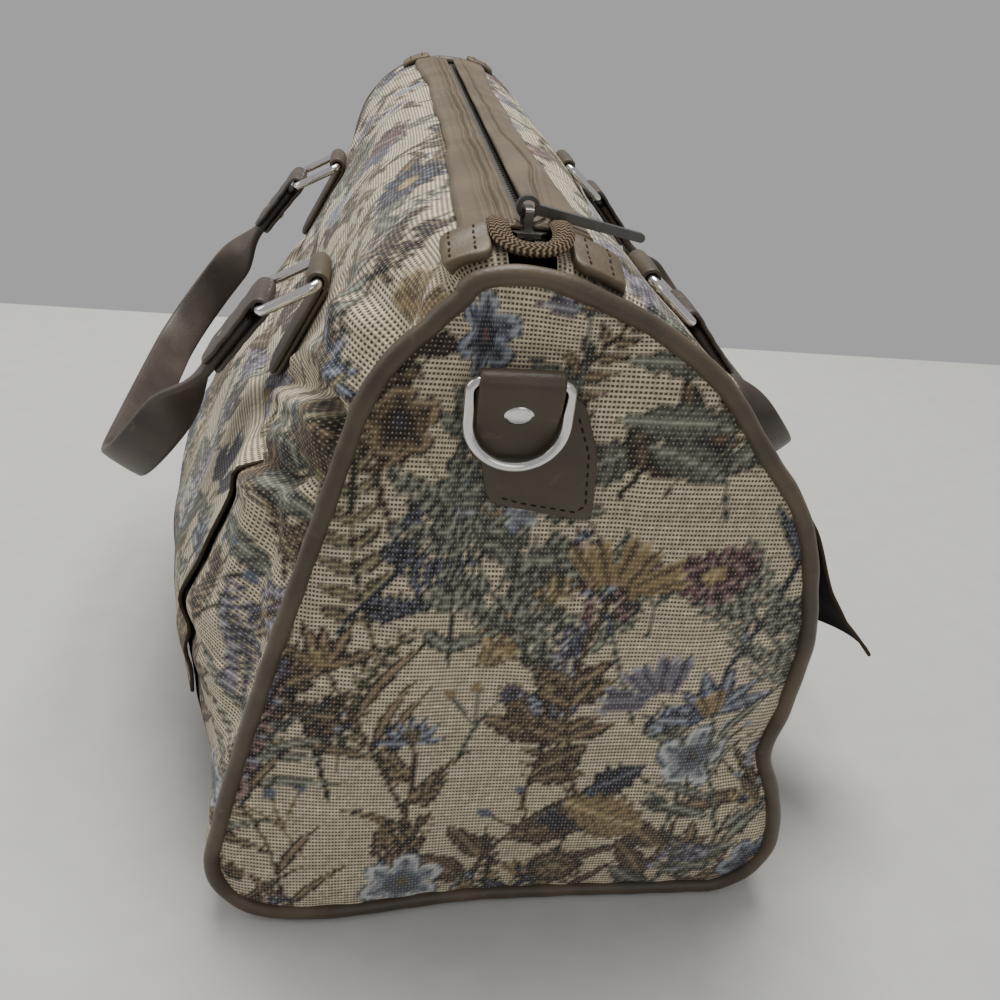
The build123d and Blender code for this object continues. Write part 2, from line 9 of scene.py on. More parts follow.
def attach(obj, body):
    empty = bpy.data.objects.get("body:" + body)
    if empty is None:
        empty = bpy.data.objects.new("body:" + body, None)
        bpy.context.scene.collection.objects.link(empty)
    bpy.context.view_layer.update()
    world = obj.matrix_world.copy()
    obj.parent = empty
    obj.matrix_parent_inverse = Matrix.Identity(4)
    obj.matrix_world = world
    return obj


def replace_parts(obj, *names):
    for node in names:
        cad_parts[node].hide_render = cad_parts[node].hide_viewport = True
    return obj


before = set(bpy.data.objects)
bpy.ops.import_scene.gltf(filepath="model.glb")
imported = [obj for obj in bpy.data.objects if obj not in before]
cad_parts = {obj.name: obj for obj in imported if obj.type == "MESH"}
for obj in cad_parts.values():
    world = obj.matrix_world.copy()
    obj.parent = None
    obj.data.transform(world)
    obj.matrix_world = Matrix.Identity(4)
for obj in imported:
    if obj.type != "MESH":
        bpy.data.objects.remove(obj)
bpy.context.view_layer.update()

# Sizes in mm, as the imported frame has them. Meshes are made in mm and scaled once.
MM = 0.001
top_lean, top_radius, top_height = -12.0, 56.0, 208.0
wrap_half_length, base_half, zip_edge = 200.7, 84.3, 7.0
end_plane, piping_radius = 205.0, 3.0
band_half_length, band_inner = 183.4, 1.9
ring_y, ring_leather_width = 95.0, 26.0
pocket_half, pocket_low, pocket_high = 148, 24, 146
flap_half, flap_low, flap_high = 150, 59, 168
stitch_across, stitch_up = 1.2, 1.66


def side_circle(reach, height, radius):
    """A circle (x, z, radius) whose side stands out to x = reach, at a height over the floor."""
    return (reach - math.copysign(radius, reach), height, radius)


# Cross-sections, anticlockwise from the bottom right, seen from the front
end_section = [
    side_circle(112, 26, 26),
    side_circle(95, 150, 70),
    (top_lean, top_height, top_radius),
    side_circle(-92, 110, 62),
    side_circle(-112, 26, 26),
]
middle_section = [
    side_circle(114, 30, 30),
    side_circle(106, 118, 70),
    (top_lean, top_height, top_radius),
    side_circle(-142, 80, 76),
    side_circle(-122, 30, 30),
]


# Finishes
def srgb(red, green, blue):
    """A colour written 0 to 255, as the linear colour that shaders take."""
    parts = [part / 255 for part in (red, green, blue)]
    return tuple(p / 12.92 if p <= 0.04045 else ((p + 0.055) / 1.055) ** 2.4 for p in parts)


class Value:
    """A number that changes over a surface. Arithmetic on it adds Math nodes."""

    def __init__(self, finish, socket):
        self.finish, self.socket = finish, socket

    def math(self, operation, *others):
        inputs = dict(enumerate((self,) + others))
        node = self.finish.node("ShaderNodeMath", {"operation": operation}, inputs)
        return Value(self.finish, node.outputs[0])

    def __add__(self, other):
        return self.math("ADD", other)

    def __sub__(self, other):
        return self.math("SUBTRACT", other)

    def __rsub__(self, other):
        return self.math("MULTIPLY", -1).math("ADD", other)

    def __mul__(self, other):
        return self.math("MULTIPLY", other)

    def __truediv__(self, other):
        return self.math("DIVIDE", other)

    def __pow__(self, other):
        return self.math("POWER", other)

    __radd__ = __add__
    __rmul__ = __mul__

    def between(self, low, high):
        """0 below low, 1 above high and smooth between them."""
        settings = {"interpolation_type": "SMOOTHSTEP"}
        node = self.finish.node("ShaderNodeMapRange", settings, {0: self, 1: low, 2: high})
        return Value(self.finish, node.outputs[0])


class Finish:
    """The nodes of one material, round a Principled shader."""

    def __init__(self, name, **constants):
        self.material = bpy.data.materials.new(name)
        self.material.use_nodes = True
        self.material.node_tree.nodes.clear()
        self.shader = self.node("ShaderNodeBsdfPrincipled")
        self.node("ShaderNodeOutputMaterial", {}, {0: self.shader.outputs[0]})
        for setting, value in constants.items():
            self.set(setting, value)

    def node(self, kind, settings={}, inputs={}):
        """A node of a kind: its settings are set first, then its inputs."""
        made = self.material.node_tree.nodes.new(kind)
        for key, value in settings.items():
            setattr(made, key, value)
        for key, value in inputs.items():
            self.put(made.inputs[key], value)
        return made

    def put(self, socket, value):
        """Joins a value or another socket to a socket, or sets it to a constant."""
        if isinstance(value, Value):
            value = value.socket
        if isinstance(value, bpy.types.NodeSocket):
            self.material.node_tree.links.new(value, socket)
        elif socket.type == "RGBA" and len(value) == 3:
            socket.default_value = (*value, 1)
        else:
            socket.default_value = value

    def set(self, name, value):
        """Sets an input of the shader, such as base_color."""
        self.put(self.shader.inputs[name.replace("_", " ").title().replace("Ior", "IOR")], value)

    def place(self):
        """A point's place on its piece."""
        return self.node("ShaderNodeTexCoord").outputs["Object"]

    def noise(self, scale, detail=2.0, roughness=0.5):
        """Soft random patches, about 0 to 1."""
        inputs = {"Vector": self.place(), "Scale": scale, "Detail": detail, "Roughness": roughness}
        return Value(self, self.node("ShaderNodeTexNoise", {}, inputs).outputs[0])

    def cells(self, scale):
        """The distance to the nearest of many scattered points."""
        node = self.node("ShaderNodeTexVoronoi", {}, {"Vector": self.place(), "Scale": scale})
        return Value(self, node.outputs["Distance"])

    def parts(self, vector):
        """The three numbers of a vector."""
        node = self.node("ShaderNodeSeparateXYZ", {}, {0: vector})
        return [Value(self, part) for part in node.outputs]

    def mix(self, share, first, second, kind="MIX"):
        """Two colours mixed by a share of the second."""
        settings = {"data_type": "RGBA", "blend_type": kind}
        node = self.node("ShaderNodeMix", settings, {0: share, 6: first, 7: second})
        return node.outputs[2]

    def bump(self, height, distance, strength=1.0):
        """Small relief, with its height in metres."""
        inputs = {"Strength": strength, "Distance": distance, "Height": height}
        self.put(self.shader.inputs["Normal"], self.node("ShaderNodeBump", {}, inputs).outputs[0])


def leather(name, colour, rubbed, dark, roughness=0.46):
    """Smooth dyed leather: soft patches of tone, rubbed high spots and a fine pebbled grain."""
    finish = Finish(name, specular_ior_level=0.42)
    patches = finish.noise(34, 3, 0.55)
    scuffs = finish.noise(150, 4, 0.6).between(0.6, 0.8)
    tone = finish.mix(patches.between(0.3, 0.72), dark, colour)
    finish.set("base_color", finish.mix(scuffs * 0.55, tone, rubbed))
    grain = finish.cells(820)
    finish.set("roughness", roughness + patches * 0.16 - grain * 0.08)
    finish.bump(grain + finish.noise(1700, 2) * 0.5, 0.00012, 0.55)
    return finish.material


def tapestry(name):
    """Woven cloth: the picture's yarns, crossed by pale threads, with painted shade in the gaps between them
    and along the thread rows.
    """
    finish = Finish(name, roughness=0.88, specular_ior_level=0.18, sheen_weight=0.12, sheen_roughness=0.6)
    picture = finish.node("ShaderNodeVertexColor", {"layer_name": "picture"})
    ground = Value(finish, picture.outputs["Alpha"])
    threads = finish.node("ShaderNodeUVMap", {"uv_map": "stitches"}).outputs[0]
    across, up, _ = finish.parts(threads)
    weft = 0.5 - (up * math.tau).math("COSINE") * 0.5
    warp = 0.5 - (across * math.tau).math("COSINE") * 0.5
    slub = finish.noise(330, 2)
    fray = finish.noise(1500, 2)
    lines = (weft ** 1.2).math("MAXIMUM", warp ** 2 * 0.9)
    light = (lines + slub * 0.3).between(0.25, 0.9)
    odd = (across.math("FLOOR") + up.math("FLOOR")).math("MODULO", 2)
    dots = (weft * warp + fray * 0.2).between(0.5, 0.95) * (0.35 + odd * 0.65)
    cream = srgb(206, 197, 178)
    yarn = finish.mix(dots * 0.42, picture.outputs["Color"], cream)
    # Painted shade: dark brown where the gaps between threads are, the picture's colour on the threads
    shaded_gaps = finish.mix(light, srgb(84, 73, 59), picture.outputs["Color"])
    plain = (ground + (fray - 0.5) * 0.5).between(0.38, 0.62)
    shade = (0.8 + weft * 0.24) + slub * 0.12
    colour = finish.mix(plain, yarn, shaded_gaps)
    tone = finish.node("ShaderNodeCombineColor", {}, {0: shade, 1: shade, 2: shade}).outputs[0]
    finish.set("base_color", finish.mix(1.0, colour, tone, "MULTIPLY"))
    finish.bump(weft * 0.8 + warp * 0.5 + dots * 0.4, 0.0005, 0.6)
    return finish.material


def metal(name, colour, roughness, wear=0.05):
    """Plated metal with faint handling marks."""
    finish = Finish(name, metallic=1.0)
    haze = finish.noise(420, 4, 0.65)
    dull = tuple(part * 0.8 for part in colour)
    finish.set("base_color", finish.mix(haze.between(0.45, 0.8), colour, dull))
    finish.set("roughness", roughness + haze * wear)
    finish.bump(finish.noise(900, 2), 0.00004, 0.3)
    return finish.material


def plain_cloth(name, colour, thread=1100.0, roughness=0.9):
    """A close plain weave that is one colour."""
    finish = Finish(name, specular_ior_level=0.15)
    fuzz = finish.noise(thread, 3, 0.6)
    dark = tuple(part * 0.6 for part in colour)
    finish.set("base_color", finish.mix(fuzz.between(0.3, 0.75), dark, colour))
    finish.set("roughness", roughness - fuzz * 0.06)
    finish.bump(fuzz, 0.0003, 0.6)
    return finish.material


def herringbone(name):
    """Zip tape: dark brown with a zigzag of lighter yarn, two millimetres to a rib."""
    finish = Finish(name, roughness=0.85, specular_ior_level=0.2)
    place = finish.node("ShaderNodeUVMap", {"uv_map": "along"}).outputs[0]
    along, across, _ = finish.parts(place)
    zigzag = (across * 0.9).math("PINGPONG", 0.9)
    ribs = 0.5 - ((along * 0.75 + zigzag * 0.8) * math.tau).math("COSINE") * 0.5
    fuzz = finish.noise(900, 2)
    tone = finish.mix(ribs.between(0.35, 0.8), srgb(46, 38, 31), srgb(128, 110, 86))
    finish.set("base_color", finish.mix(fuzz.between(0.5, 0.8) * 0.5, tone, srgb(30, 25, 21)))
    finish.bump(ribs + fuzz * 0.4, 0.0004, 0.8)
    return finish.material


tapestry_cloth = tapestry("tapestry_cloth")
trim_leather = leather("trim_leather", srgb(104, 91, 72), srgb(126, 112, 90), srgb(86, 74, 58))
piping_leather = leather("piping_leather", srgb(94, 81, 65), srgb(122, 107, 86), srgb(66, 57, 46), 0.4)
tab_leather = leather("tab_leather", srgb(84, 74, 59), srgb(104, 93, 76), srgb(68, 59, 47), 0.42)
handle_leather = leather("handle_leather", srgb(80, 71, 62), srgb(106, 97, 84), srgb(62, 53, 48), 0.42)
ring_chrome = metal("ring_chrome", (0.78, 0.77, 0.75), 0.1)
# The zip metal is darkened so its teeth, seen through the slit between the bands, look shaded: painted shade
# on top of a dark gunmetal finish
zip_metal = metal("zip_metal", (0.2, 0.185, 0.165), 0.32, 0.12)
pull_metal = metal("pull_metal", (0.13, 0.125, 0.115), 0.34, 0.12)
black_lining = plain_cloth("black_lining", srgb(30, 29, 31))
thread_brown = plain_cloth("thread_brown", srgb(52, 43, 34), 2500.0, 0.75)
board_brown = plain_cloth("board_brown", srgb(62, 54, 46), 500.0, 0.8)
woven_tape = herringbone("woven_tape")
tape_cloth = plain_cloth("tape_cloth", srgb(74, 63, 50), 1500.0)


# Shapes
def finish_piece(name, points, faces, slot, material, body="bag"):
    """An object from points in mm. It rides on a body and takes the material it is given; its slot is not
    used.
    """
    mesh = bpy.data.meshes.new(name)
    mesh.from_pydata([tuple(p) for p in np.asarray(points, float) * MM], [], [tuple(f) for f in faces])
    mesh.validate()
    mesh.polygons.foreach_set("use_smooth", [True] * len(mesh.polygons))
    mesh.materials.append(material)
    piece = bpy.data.objects.new(name, mesh)
    bpy.context.scene.collection.objects.link(piece)
    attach(piece, body)
    return piece


def closed_piece(*details, **options):
    """A piece whose faces enclose a volume and point outwards."""
    piece = finish_piece(*details, **options)
    made = bmesh.new()
    made.from_mesh(piece.data)
    bmesh.ops.recalc_face_normals(made, faces=made.faces)
    made.to_mesh(piece.data)
    made.free()
    return piece


def grid_faces(rows, columns, start=0):
    """The faces of a grid of points, kept a row at a time."""
    index = start + np.arange(rows * columns).reshape(rows, columns)
    return np.stack([index[:-1, :-1], index[:-1, 1:], index[1:, 1:], index[1:, :-1]], -1).reshape(-1, 4)


def tube_faces(rings, around, joined=False, start=0):
    """The faces between rings of points. A joined tube runs from its last ring to its first."""
    faces = []
    for i in range(rings if joined else rings - 1):
        low, high = start + i * around, start + (i + 1) % rings * around
        for j in range(around):
            k = (j + 1) % around
            faces.append((low + j, low + k, high + k, high + j))
    return faces


def run_along(line):
    """How far each point of a line lies along it."""
    steps = np.linalg.norm(np.diff(np.asarray(line, float), axis=0), axis=1)
    return np.concatenate([[0], np.cumsum(steps)])


def smoothstep(low, high, value):
    """0 below low, 1 above high and smooth between them."""
    t = np.clip((np.asarray(value, float) - low) / (high - low), 0, 1)
    return t * t * (3 - 2 * t)


def hump(value, centre, width):
    """1 at the centre, falling off on both sides."""
    return np.exp(-(((np.asarray(value, float) - centre) / width) ** 2))


def ripple(a, b, size, seed):
    """Smooth random waves over two coordinates, about -1 to 1, of a size in mm."""
    rng = np.random.default_rng(seed)
    total = np.zeros(np.broadcast(a, b).shape)
    for _ in range(9):
        turn, phase, scale = rng.uniform(0, math.tau), rng.uniform(0, math.tau), rng.uniform(0.6, 1.5)
        total += np.sin((a * math.cos(turn) + b * math.sin(turn)) * math.tau * scale / size + phase)
    return total / 4.2


def crease(a, b, points, width, depth):
    """A fold pressed in along a path on a surface, with a soft lip beside it, tapering to its ends."""
    best = np.full(np.broadcast(a, b).shape, 1e9)
    share = np.zeros(best.shape)
    ends = len(points) - 1
    for i, ((a0, b0), (a1, b1)) in enumerate(zip(points, points[1:])):
        run = (a1 - a0) ** 2 + (b1 - b0) ** 2
        t = np.clip(((a - a0) * (a1 - a0) + (b - b0) * (b1 - b0)) / run, 0, 1)
        away = np.hypot(a - a0 - t * (a1 - a0), b - b0 - t * (b1 - b0))
        nearer = away < best
        share = np.where(nearer, (i + t) / ends, share)
        best = np.where(nearer, away, best)
    taper = np.clip(np.sin(np.pi * np.clip(share, 0, 1)), 0, 1) ** 0.6
    groove = -np.exp(-((best / width) ** 2))
    rise = 0.35 * np.exp(-(((best - 1.9 * width) / (0.9 * width)) ** 2))
    return depth * taper * (groove + rise)


def tangent_normal(first, second):
    """The outward angle of the line that touches two circles of a section, going anticlockwise."""
    dx, dz = second[0] - first[0], second[1] - first[1]
    apart = math.hypot(dx, dz)
    along = (first[2] - second[2]) / apart
    across = math.sqrt(1 - along**2)
    return math.atan2((along * dz - across * dx) / apart, (along * dx + across * dz) / apart)


def arc(circle, start, stop, count=24):
    """Points on a circle between two angles."""
    angles = np.linspace(start, stop, count)
    return [(circle[0] + circle[2] * math.cos(t), circle[1] + circle[2] * math.sin(t)) for t in angles]


def side_outline(circles, side):
    """A side of a section from the zip's edge down, as three runs: crown, wall, and corner to base seam."""
    low_right, right, top, left, low_left = circles
    if side > 0:
        a, b = tangent_normal(right, top), tangent_normal(low_right, right)
        steps = [(top, math.acos(zip_edge / top_radius), a), (right, a, b), (low_right, b, -math.pi / 2)]
    else:
        a, b = tangent_normal(top, left) % math.tau, tangent_normal(left, low_left) % math.tau
        start = math.pi - math.acos(zip_edge / top_radius)
        steps = [(top, start, a), (left, a, b), (low_left, b, 1.5 * math.pi)]
    crown, wall, corner = (arc(*step) for step in steps)
    return [crown, [crown[-1]] + wall + [corner[0]], corner + [(side * base_half, 0)]]


def spaced(line, count):
    """Points evenly spaced along a line."""
    line = np.array(line)
    run = run_along(line)
    at = np.linspace(0, run[-1], count + 1)
    return np.stack([np.interp(at, run, line[:, k]) for k in (0, 1)], 1), run[-1]


def closed_outline(circles, inset, count):
    """A section's whole outline, inset, as points evenly spaced, anticlockwise from the bottom right."""
    angles = [tangent_normal(a, b) for a, b in zip(circles, circles[1:] + circles[:1])]
    points = []
    for circle, first, last in zip(circles, angles[-1:] + angles[:-1], angles):
        if last < first:
            last += math.tau
        shrunk = (circle[0], circle[1], circle[2] - inset)
        points += arc(shrunk, first, last, 40)
    points = np.array(points + points[:1])
    run = run_along(points)
    at = np.linspace(0, run[-1], count, endpoint=False)
    return np.stack([np.interp(at, run, points[:, k]) for k in (0, 1)], 1)


def slump(points):
    """How the ends of the bag have sunk: the same for its cloth, its seams and its piping."""
    x, y, z = np.moveaxis(np.asarray(points, float), -1, 0)
    near, very_near = smoothstep(-120, -202, y), smoothstep(-146, -203, y)
    push_y = -7.0 * hump(x, -70, 42) * hump(z, 0, 34) * near
    fold = smoothstep(55, 96, x) * near
    push_x = fold * (4.5 * hump(z, 132, 26) - 6.0 * hump(z, 78, 15) + 2.0 * hump(z, 36, 16))
    push_y = push_y + fold * 2.5 * hump(z, 112, 32)
    heights, sinks = (60, 90, 141, 180, 215, 231, 243, 254, 262), (0, 1, 3.5, 5.5, 7, 10.5, 12.5, 9, 0)
    shoulder = np.interp(z, heights, sinks)
    push_x = push_x + very_near * smoothstep(-18, -44, x) * shoulder
    push_x = push_x + very_near * smoothstep(10, 36, x) * 4.5 * hump(z, 226, 18)
    push_z = -3.6 * smoothstep(-184, -203, y) * smoothstep(226, 258, z)
    push_z = push_z - 2.5 * very_near * hump(x, 8, 16) * smoothstep(230, 256, z)
    far = smoothstep(110, 202, y)
    push_x = push_x + far * smoothstep(-50, -95, x) * 4.0 * (hump(z, 112, 26) - hump(z, 60, 22))
    push_y = push_y + far * 4.0 * hump(x, 60, 45) * hump(z, 0, 34)
    return np.stack([x + push_x, y + push_y, z + push_z], -1)


class Loom:
    """A cloth of stitches on which plants are woven, x across and y up, in mm."""

    def __init__(self, across, up, seed):
        self.columns, self.rows = round(across / stitch_across), round(up / stitch_up)
        self.across, self.up = across, up
        self.rng = np.random.default_rng(seed)
        self.x = (np.arange(self.columns) + 0.5) * stitch_across
        self.y = (np.arange(self.rows) + 0.5) * stitch_up
        self.picture = np.empty((self.rows, self.columns, 3))
        self.picture[:] = (203, 190, 165)
        self.ground = np.ones((self.rows, self.columns))

    def local(self, centre, angle, reach):
        """The stitches round a point, with their distances along a direction and across it."""
        columns = slice(*np.searchsorted(self.x, (centre[0] - reach, centre[0] + reach)))
        rows = slice(*np.searchsorted(self.y, (centre[1] - reach, centre[1] + reach)))
        dx = self.x[columns][None, :] - centre[0]
        dy = self.y[rows][:, None] - centre[1]
        along = dx * math.sin(angle) + dy * math.cos(angle)
        across = dx * math.cos(angle) - dy * math.sin(angle)
        return (rows, columns), along, across

    def lay(self, window, inside, colour):
        """Weaves a colour, or a choice of them, into the stitches that are inside."""
        yarn = np.broadcast_to(np.asarray(colour, float), inside.shape + (3,))
        self.picture[window] = np.where(inside[..., None], yarn, self.picture[window])
        self.ground[window] = np.where(inside, 0.0, self.ground[window])

    def tones(self, choice, yarns):
        """One of a plant's yarns for each stitch: 0 is dark, 1 middle and 2 light."""
        return np.array([yarns[1], yarns[0], yarns[2]], float)[choice]

    def stem(self, path, width, yarns):
        """A line along a path, lighter down its middle."""
        path = np.array(path, float)
        middle, reach = path.mean(0), np.abs(path - path.mean(0)).max() + width + 2
        window, dy, dx = self.local(middle, 0, reach)
        if dx.size == 0 or dy.size == 0:
            return
        best = np.full(np.broadcast(dx, dy).shape, 1e9)
        for (x0, y0), (x1, y1) in zip(path - middle, path[1:] - middle):
            run = (x1 - x0) ** 2 + (y1 - y0) ** 2 + 1e-9
            t = np.clip(((dx - x0) * (x1 - x0) + (dy - y0) * (y1 - y0)) / run, 0, 1)
            best = np.minimum(best, np.hypot(dx - x0 - t * (x1 - x0), dy - y0 - t * (y1 - y0)))
        light = (best < width * 0.22) * 1
        self.lay(window, best < width / 2, self.tones(light, yarns))

    def leaf(self, foot, angle, length, width, yarns, bend=0.0, teeth=0.0):
        """A pointed leaf with a midrib, side veins and a dark edge."""
        window, along, across = self.local(foot, angle, length * 1.05 + width)
        t = along / length
        across = across - bend * length * t * t
        half = width / 2 * np.sin(np.pi * np.clip(t, 0, 1)) ** 0.75 * (1.25 - 0.5 * t)
        half = half * (1 + teeth * (np.abs((along % 5.0) - 2.5) / 2.5 - 0.5))
        inside = (t > 0) & (t < 1) & (np.abs(across) < half)
        veins = ((along + np.abs(across) * 0.9) % 4.6) < 1.3
        choice = np.where(veins, 0, 1)
        choice = np.where(np.abs(across) < 0.7, 2, choice)
        choice = np.where(np.abs(across) > half - 0.9, 0, choice)
        self.lay(window, inside, self.tones(choice, yarns))

    def fern(self, foot, angle, length, yarns, bend=0.25, pairs=9, size=1.0):
        """A curving rib with pairs of small leaves that shorten to its tip."""
        steps = np.linspace(0, 1, 22)
        turn = angle + bend * steps
        xs = foot[0] + np.concatenate([[0], np.cumsum(np.sin(turn[1:]) * length / 21)])
        ys = foot[1] + np.concatenate([[0], np.cumsum(np.cos(turn[1:]) * length / 21)])
        for i in range(pairs):
            share = 0.12 + 0.86 * i / pairs
            at = (np.interp(share, steps, xs), np.interp(share, steps, ys))
            heading = angle + bend * share
            for side in (-1, 1):
                reach = size * length * 0.26 * (1.08 - share)
                self.leaf(at, heading + side * (1.0 - 0.3 * share), reach + 3, 2.6 + reach * 0.24, yarns)
        self.stem(list(zip(xs, ys)), 1.7, yarns)

    def daisy(self, centre, radius, petals, yarns, heart, squash=0.82):
        """Narrow rayed petals round a speckled heart."""
        window, up, right = self.local(centre, self.rng.uniform(-0.4, 0.4), radius * 1.3)
        up = up / squash
        far, turn = np.hypot(up, right), np.arctan2(right, up)
        wave = np.abs(np.cos(petals * turn / 2))
        edge = radius * (0.62 + 0.38 * wave**0.6) * (1 + 0.08 * np.sin(turn * 3 + radius))
        inside = far < edge
        choice = np.where(wave < 0.4, 0, np.where(wave > 0.86, 2, 1))
        choice = np.where((far / radius * 5).astype(int) % 3 == 0, np.maximum(choice - 1, 0), choice)
        choice = np.where(far > edge - 1.1, 0, choice)
        self.lay(window, inside, self.tones(choice, yarns))
        core = far < radius * 0.26
        ring = (far > radius * 0.18) | ((far * 1.9).astype(int) % 2 == 0)
        self.lay(window, far < radius * 0.32, yarns[1])
        self.lay(window, core, self.tones(np.where(ring, 1, 2), heart))

    def bloom(self, centre, radius, lobes, yarns, heart, turn_by=0.0):
        """Broad rounded petals with pale rims and darker throats."""
        window, up, right = self.local(centre, turn_by, radius * 1.2)
        far, turn = np.hypot(up, right), np.arctan2(right, up)
        wave = np.abs(np.cos(lobes * turn / 2))
        edge = radius * (0.5 + 0.5 * wave**0.45)
        inside = far < edge
        choice = np.where(far < radius * 0.42, 0, 1)
        choice = np.where(far > edge * 0.74, 2, choice)
        choice = np.where(far > edge - 1.0, 0, choice)
        choice = np.where((wave > 0.97) & (far < edge * 0.8), 0, choice)
        self.lay(window, inside, self.tones(choice, yarns))
        self.lay(window, far < radius * 0.16, heart[0])

    def bell(self, foot, angle, length, width, yarns):
        """A cup of upright petals with a notched rim."""
        window, along, across = self.local(foot, angle, length + width)
        t = along / length
        half = width / 2 * (0.35 + 0.65 * np.clip(t, 0, 1) ** 0.55)
        rim = 1 - 0.16 * np.abs(np.sin(across / width * 3 * np.pi))
        inside = (t > 0) & (t < rim) & (np.abs(across) < half)
        stripes = (np.abs(across) / (half + 1e-6) * 3).astype(int)
        choice = np.where(stripes % 2 == 0, 1, 0)
        choice = np.where((t > rim - 0.14) & (choice == 1), 2, choice)
        self.lay(window, inside, self.tones(choice, yarns))

    def spike(self, foot, angle, length, yarns, other):
        """Small florets up a stem, smaller and closer towards its tip."""
        top = (foot[0] + math.sin(angle) * length, foot[1] + math.cos(angle) * length)
        self.stem([foot, top], 1.5, other)
        count = int(length / 3.4)
        for i in range(count):
            share = 0.18 + 0.82 * i / count
            at = (foot[0] + (top[0] - foot[0]) * share, foot[1] + (top[1] - foot[1]) * share)
            for side in (-1, 1):
                lean = angle + side * (1.25 - 0.6 * share)
                size = (4.6 - 2.6 * share) * self.rng.uniform(0.85, 1.2)
                out = size * self.rng.uniform(0.5, 1.0)
                spot = (at[0] + math.sin(lean) * out, at[1] + math.cos(lean) * out)
                self.leaf(spot, lean, size * 1.7, size, yarns if self.rng.random() < 0.7 else other)

    def sprig(self, foot, angle, length, yarns, berry):
        """Thin branching twigs with a dot at each tip."""
        for turn in (-0.55, -0.2, 0.15, 0.5):
            reach = length * self.rng.uniform(0.75, 1.1)
            tip = (foot[0] + math.sin(angle + turn) * reach, foot[1] + math.cos(angle + turn) * reach)
            knee = (foot[0] + math.sin(angle) * reach * 0.45, foot[1] + math.cos(angle) * reach * 0.45)
            self.stem([foot, knee, tip], 1.5, yarns)
            window, up, right = self.local(tip, 0, 4)
            self.lay(window, np.hypot(up, right) < self.rng.uniform(1.7, 2.9), berry[0])


BLUE = ((88, 93, 106), (44, 47, 60), (142, 147, 156))
ICE = ((132, 137, 142), (86, 91, 100), (184, 185, 184))
LILAC = ((112, 106, 118), (70, 66, 78), (152, 148, 154))
BROWN = ((90, 75, 58), (48, 39, 32), (136, 118, 94))
UMBER = ((62, 52, 43), (34, 29, 26), (104, 89, 71))
WINE = ((96, 71, 71), (54, 39, 41), (146, 122, 116))
OLIVE = ((96, 90, 68), (54, 50, 40), (136, 128, 100))
SAGE = ((98, 99, 88), (56, 58, 52), (140, 141, 126))
OCHRE = ((134, 116, 84), (86, 73, 53), (168, 152, 115))
NIGHT = ((52, 52, 62), (32, 32, 38), (96, 99, 110))
STEMS = (OLIVE, SAGE, BROWN, UMBER, BROWN, UMBER, NIGHT)
PALE = (SAGE, BROWN, OCHRE, OLIVE)
HEADS = (BLUE, LILAC, ICE, WINE, BLUE, NIGHT, BROWN, LILAC, OCHRE)


def growth(foot, heading, length, bend, count=20):
    """A stem's path: its points and headings, turning by bend over its length."""
    turns = heading + bend * np.linspace(0, 1, count) ** 1.4
    step = length / (count - 1)
    xs = foot[0] + np.concatenate([[0], np.cumsum(np.sin(turns[1:]) * step)])
    ys = foot[1] + np.concatenate([[0], np.cumsum(np.cos(turns[1:]) * step)])
    return xs, ys, turns


def head_of(loom, at, angle, size, kind, yarns, heart):
    """A flower at the end of a stem."""
    rng = loom.rng
    if kind == 0:
        loom.daisy(at, size, int(rng.integers(10, 17)), yarns, heart, rng.uniform(0.6, 1.0))
    elif kind == 1:
        loom.bloom(at, size * 0.8, int(rng.integers(4, 7)), yarns, heart, rng.uniform(0, 1.5))
    elif kind == 2:
        for turn in (-0.8, 0.05, 0.75):
            lean = angle + turn
            foot = (at[0] + size * 0.3 * math.sin(lean), at[1] + size * 0.2 * math.cos(lean))
            length, wide = rng.uniform(0.8, 1.05), rng.uniform(0.55, 0.75)
            loom.bell(foot, lean, size * length, size * wide, yarns)
    elif kind == 3:
        for turn in np.linspace(-1.5, 1.5, 7):
            lean, length = angle + turn + rng.uniform(-0.1, 0.1), size * rng.uniform(0.9, 1.25)
            loom.leaf(at, lean, length, size * 0.34, yarns)
        loom.bell(at, angle, size * 0.55, size * 0.6, heart)
    else:
        loom.leaf(at, angle, size * 1.7, size * 1.05, yarns, rng.uniform(-0.1, 0.1), 0.45)


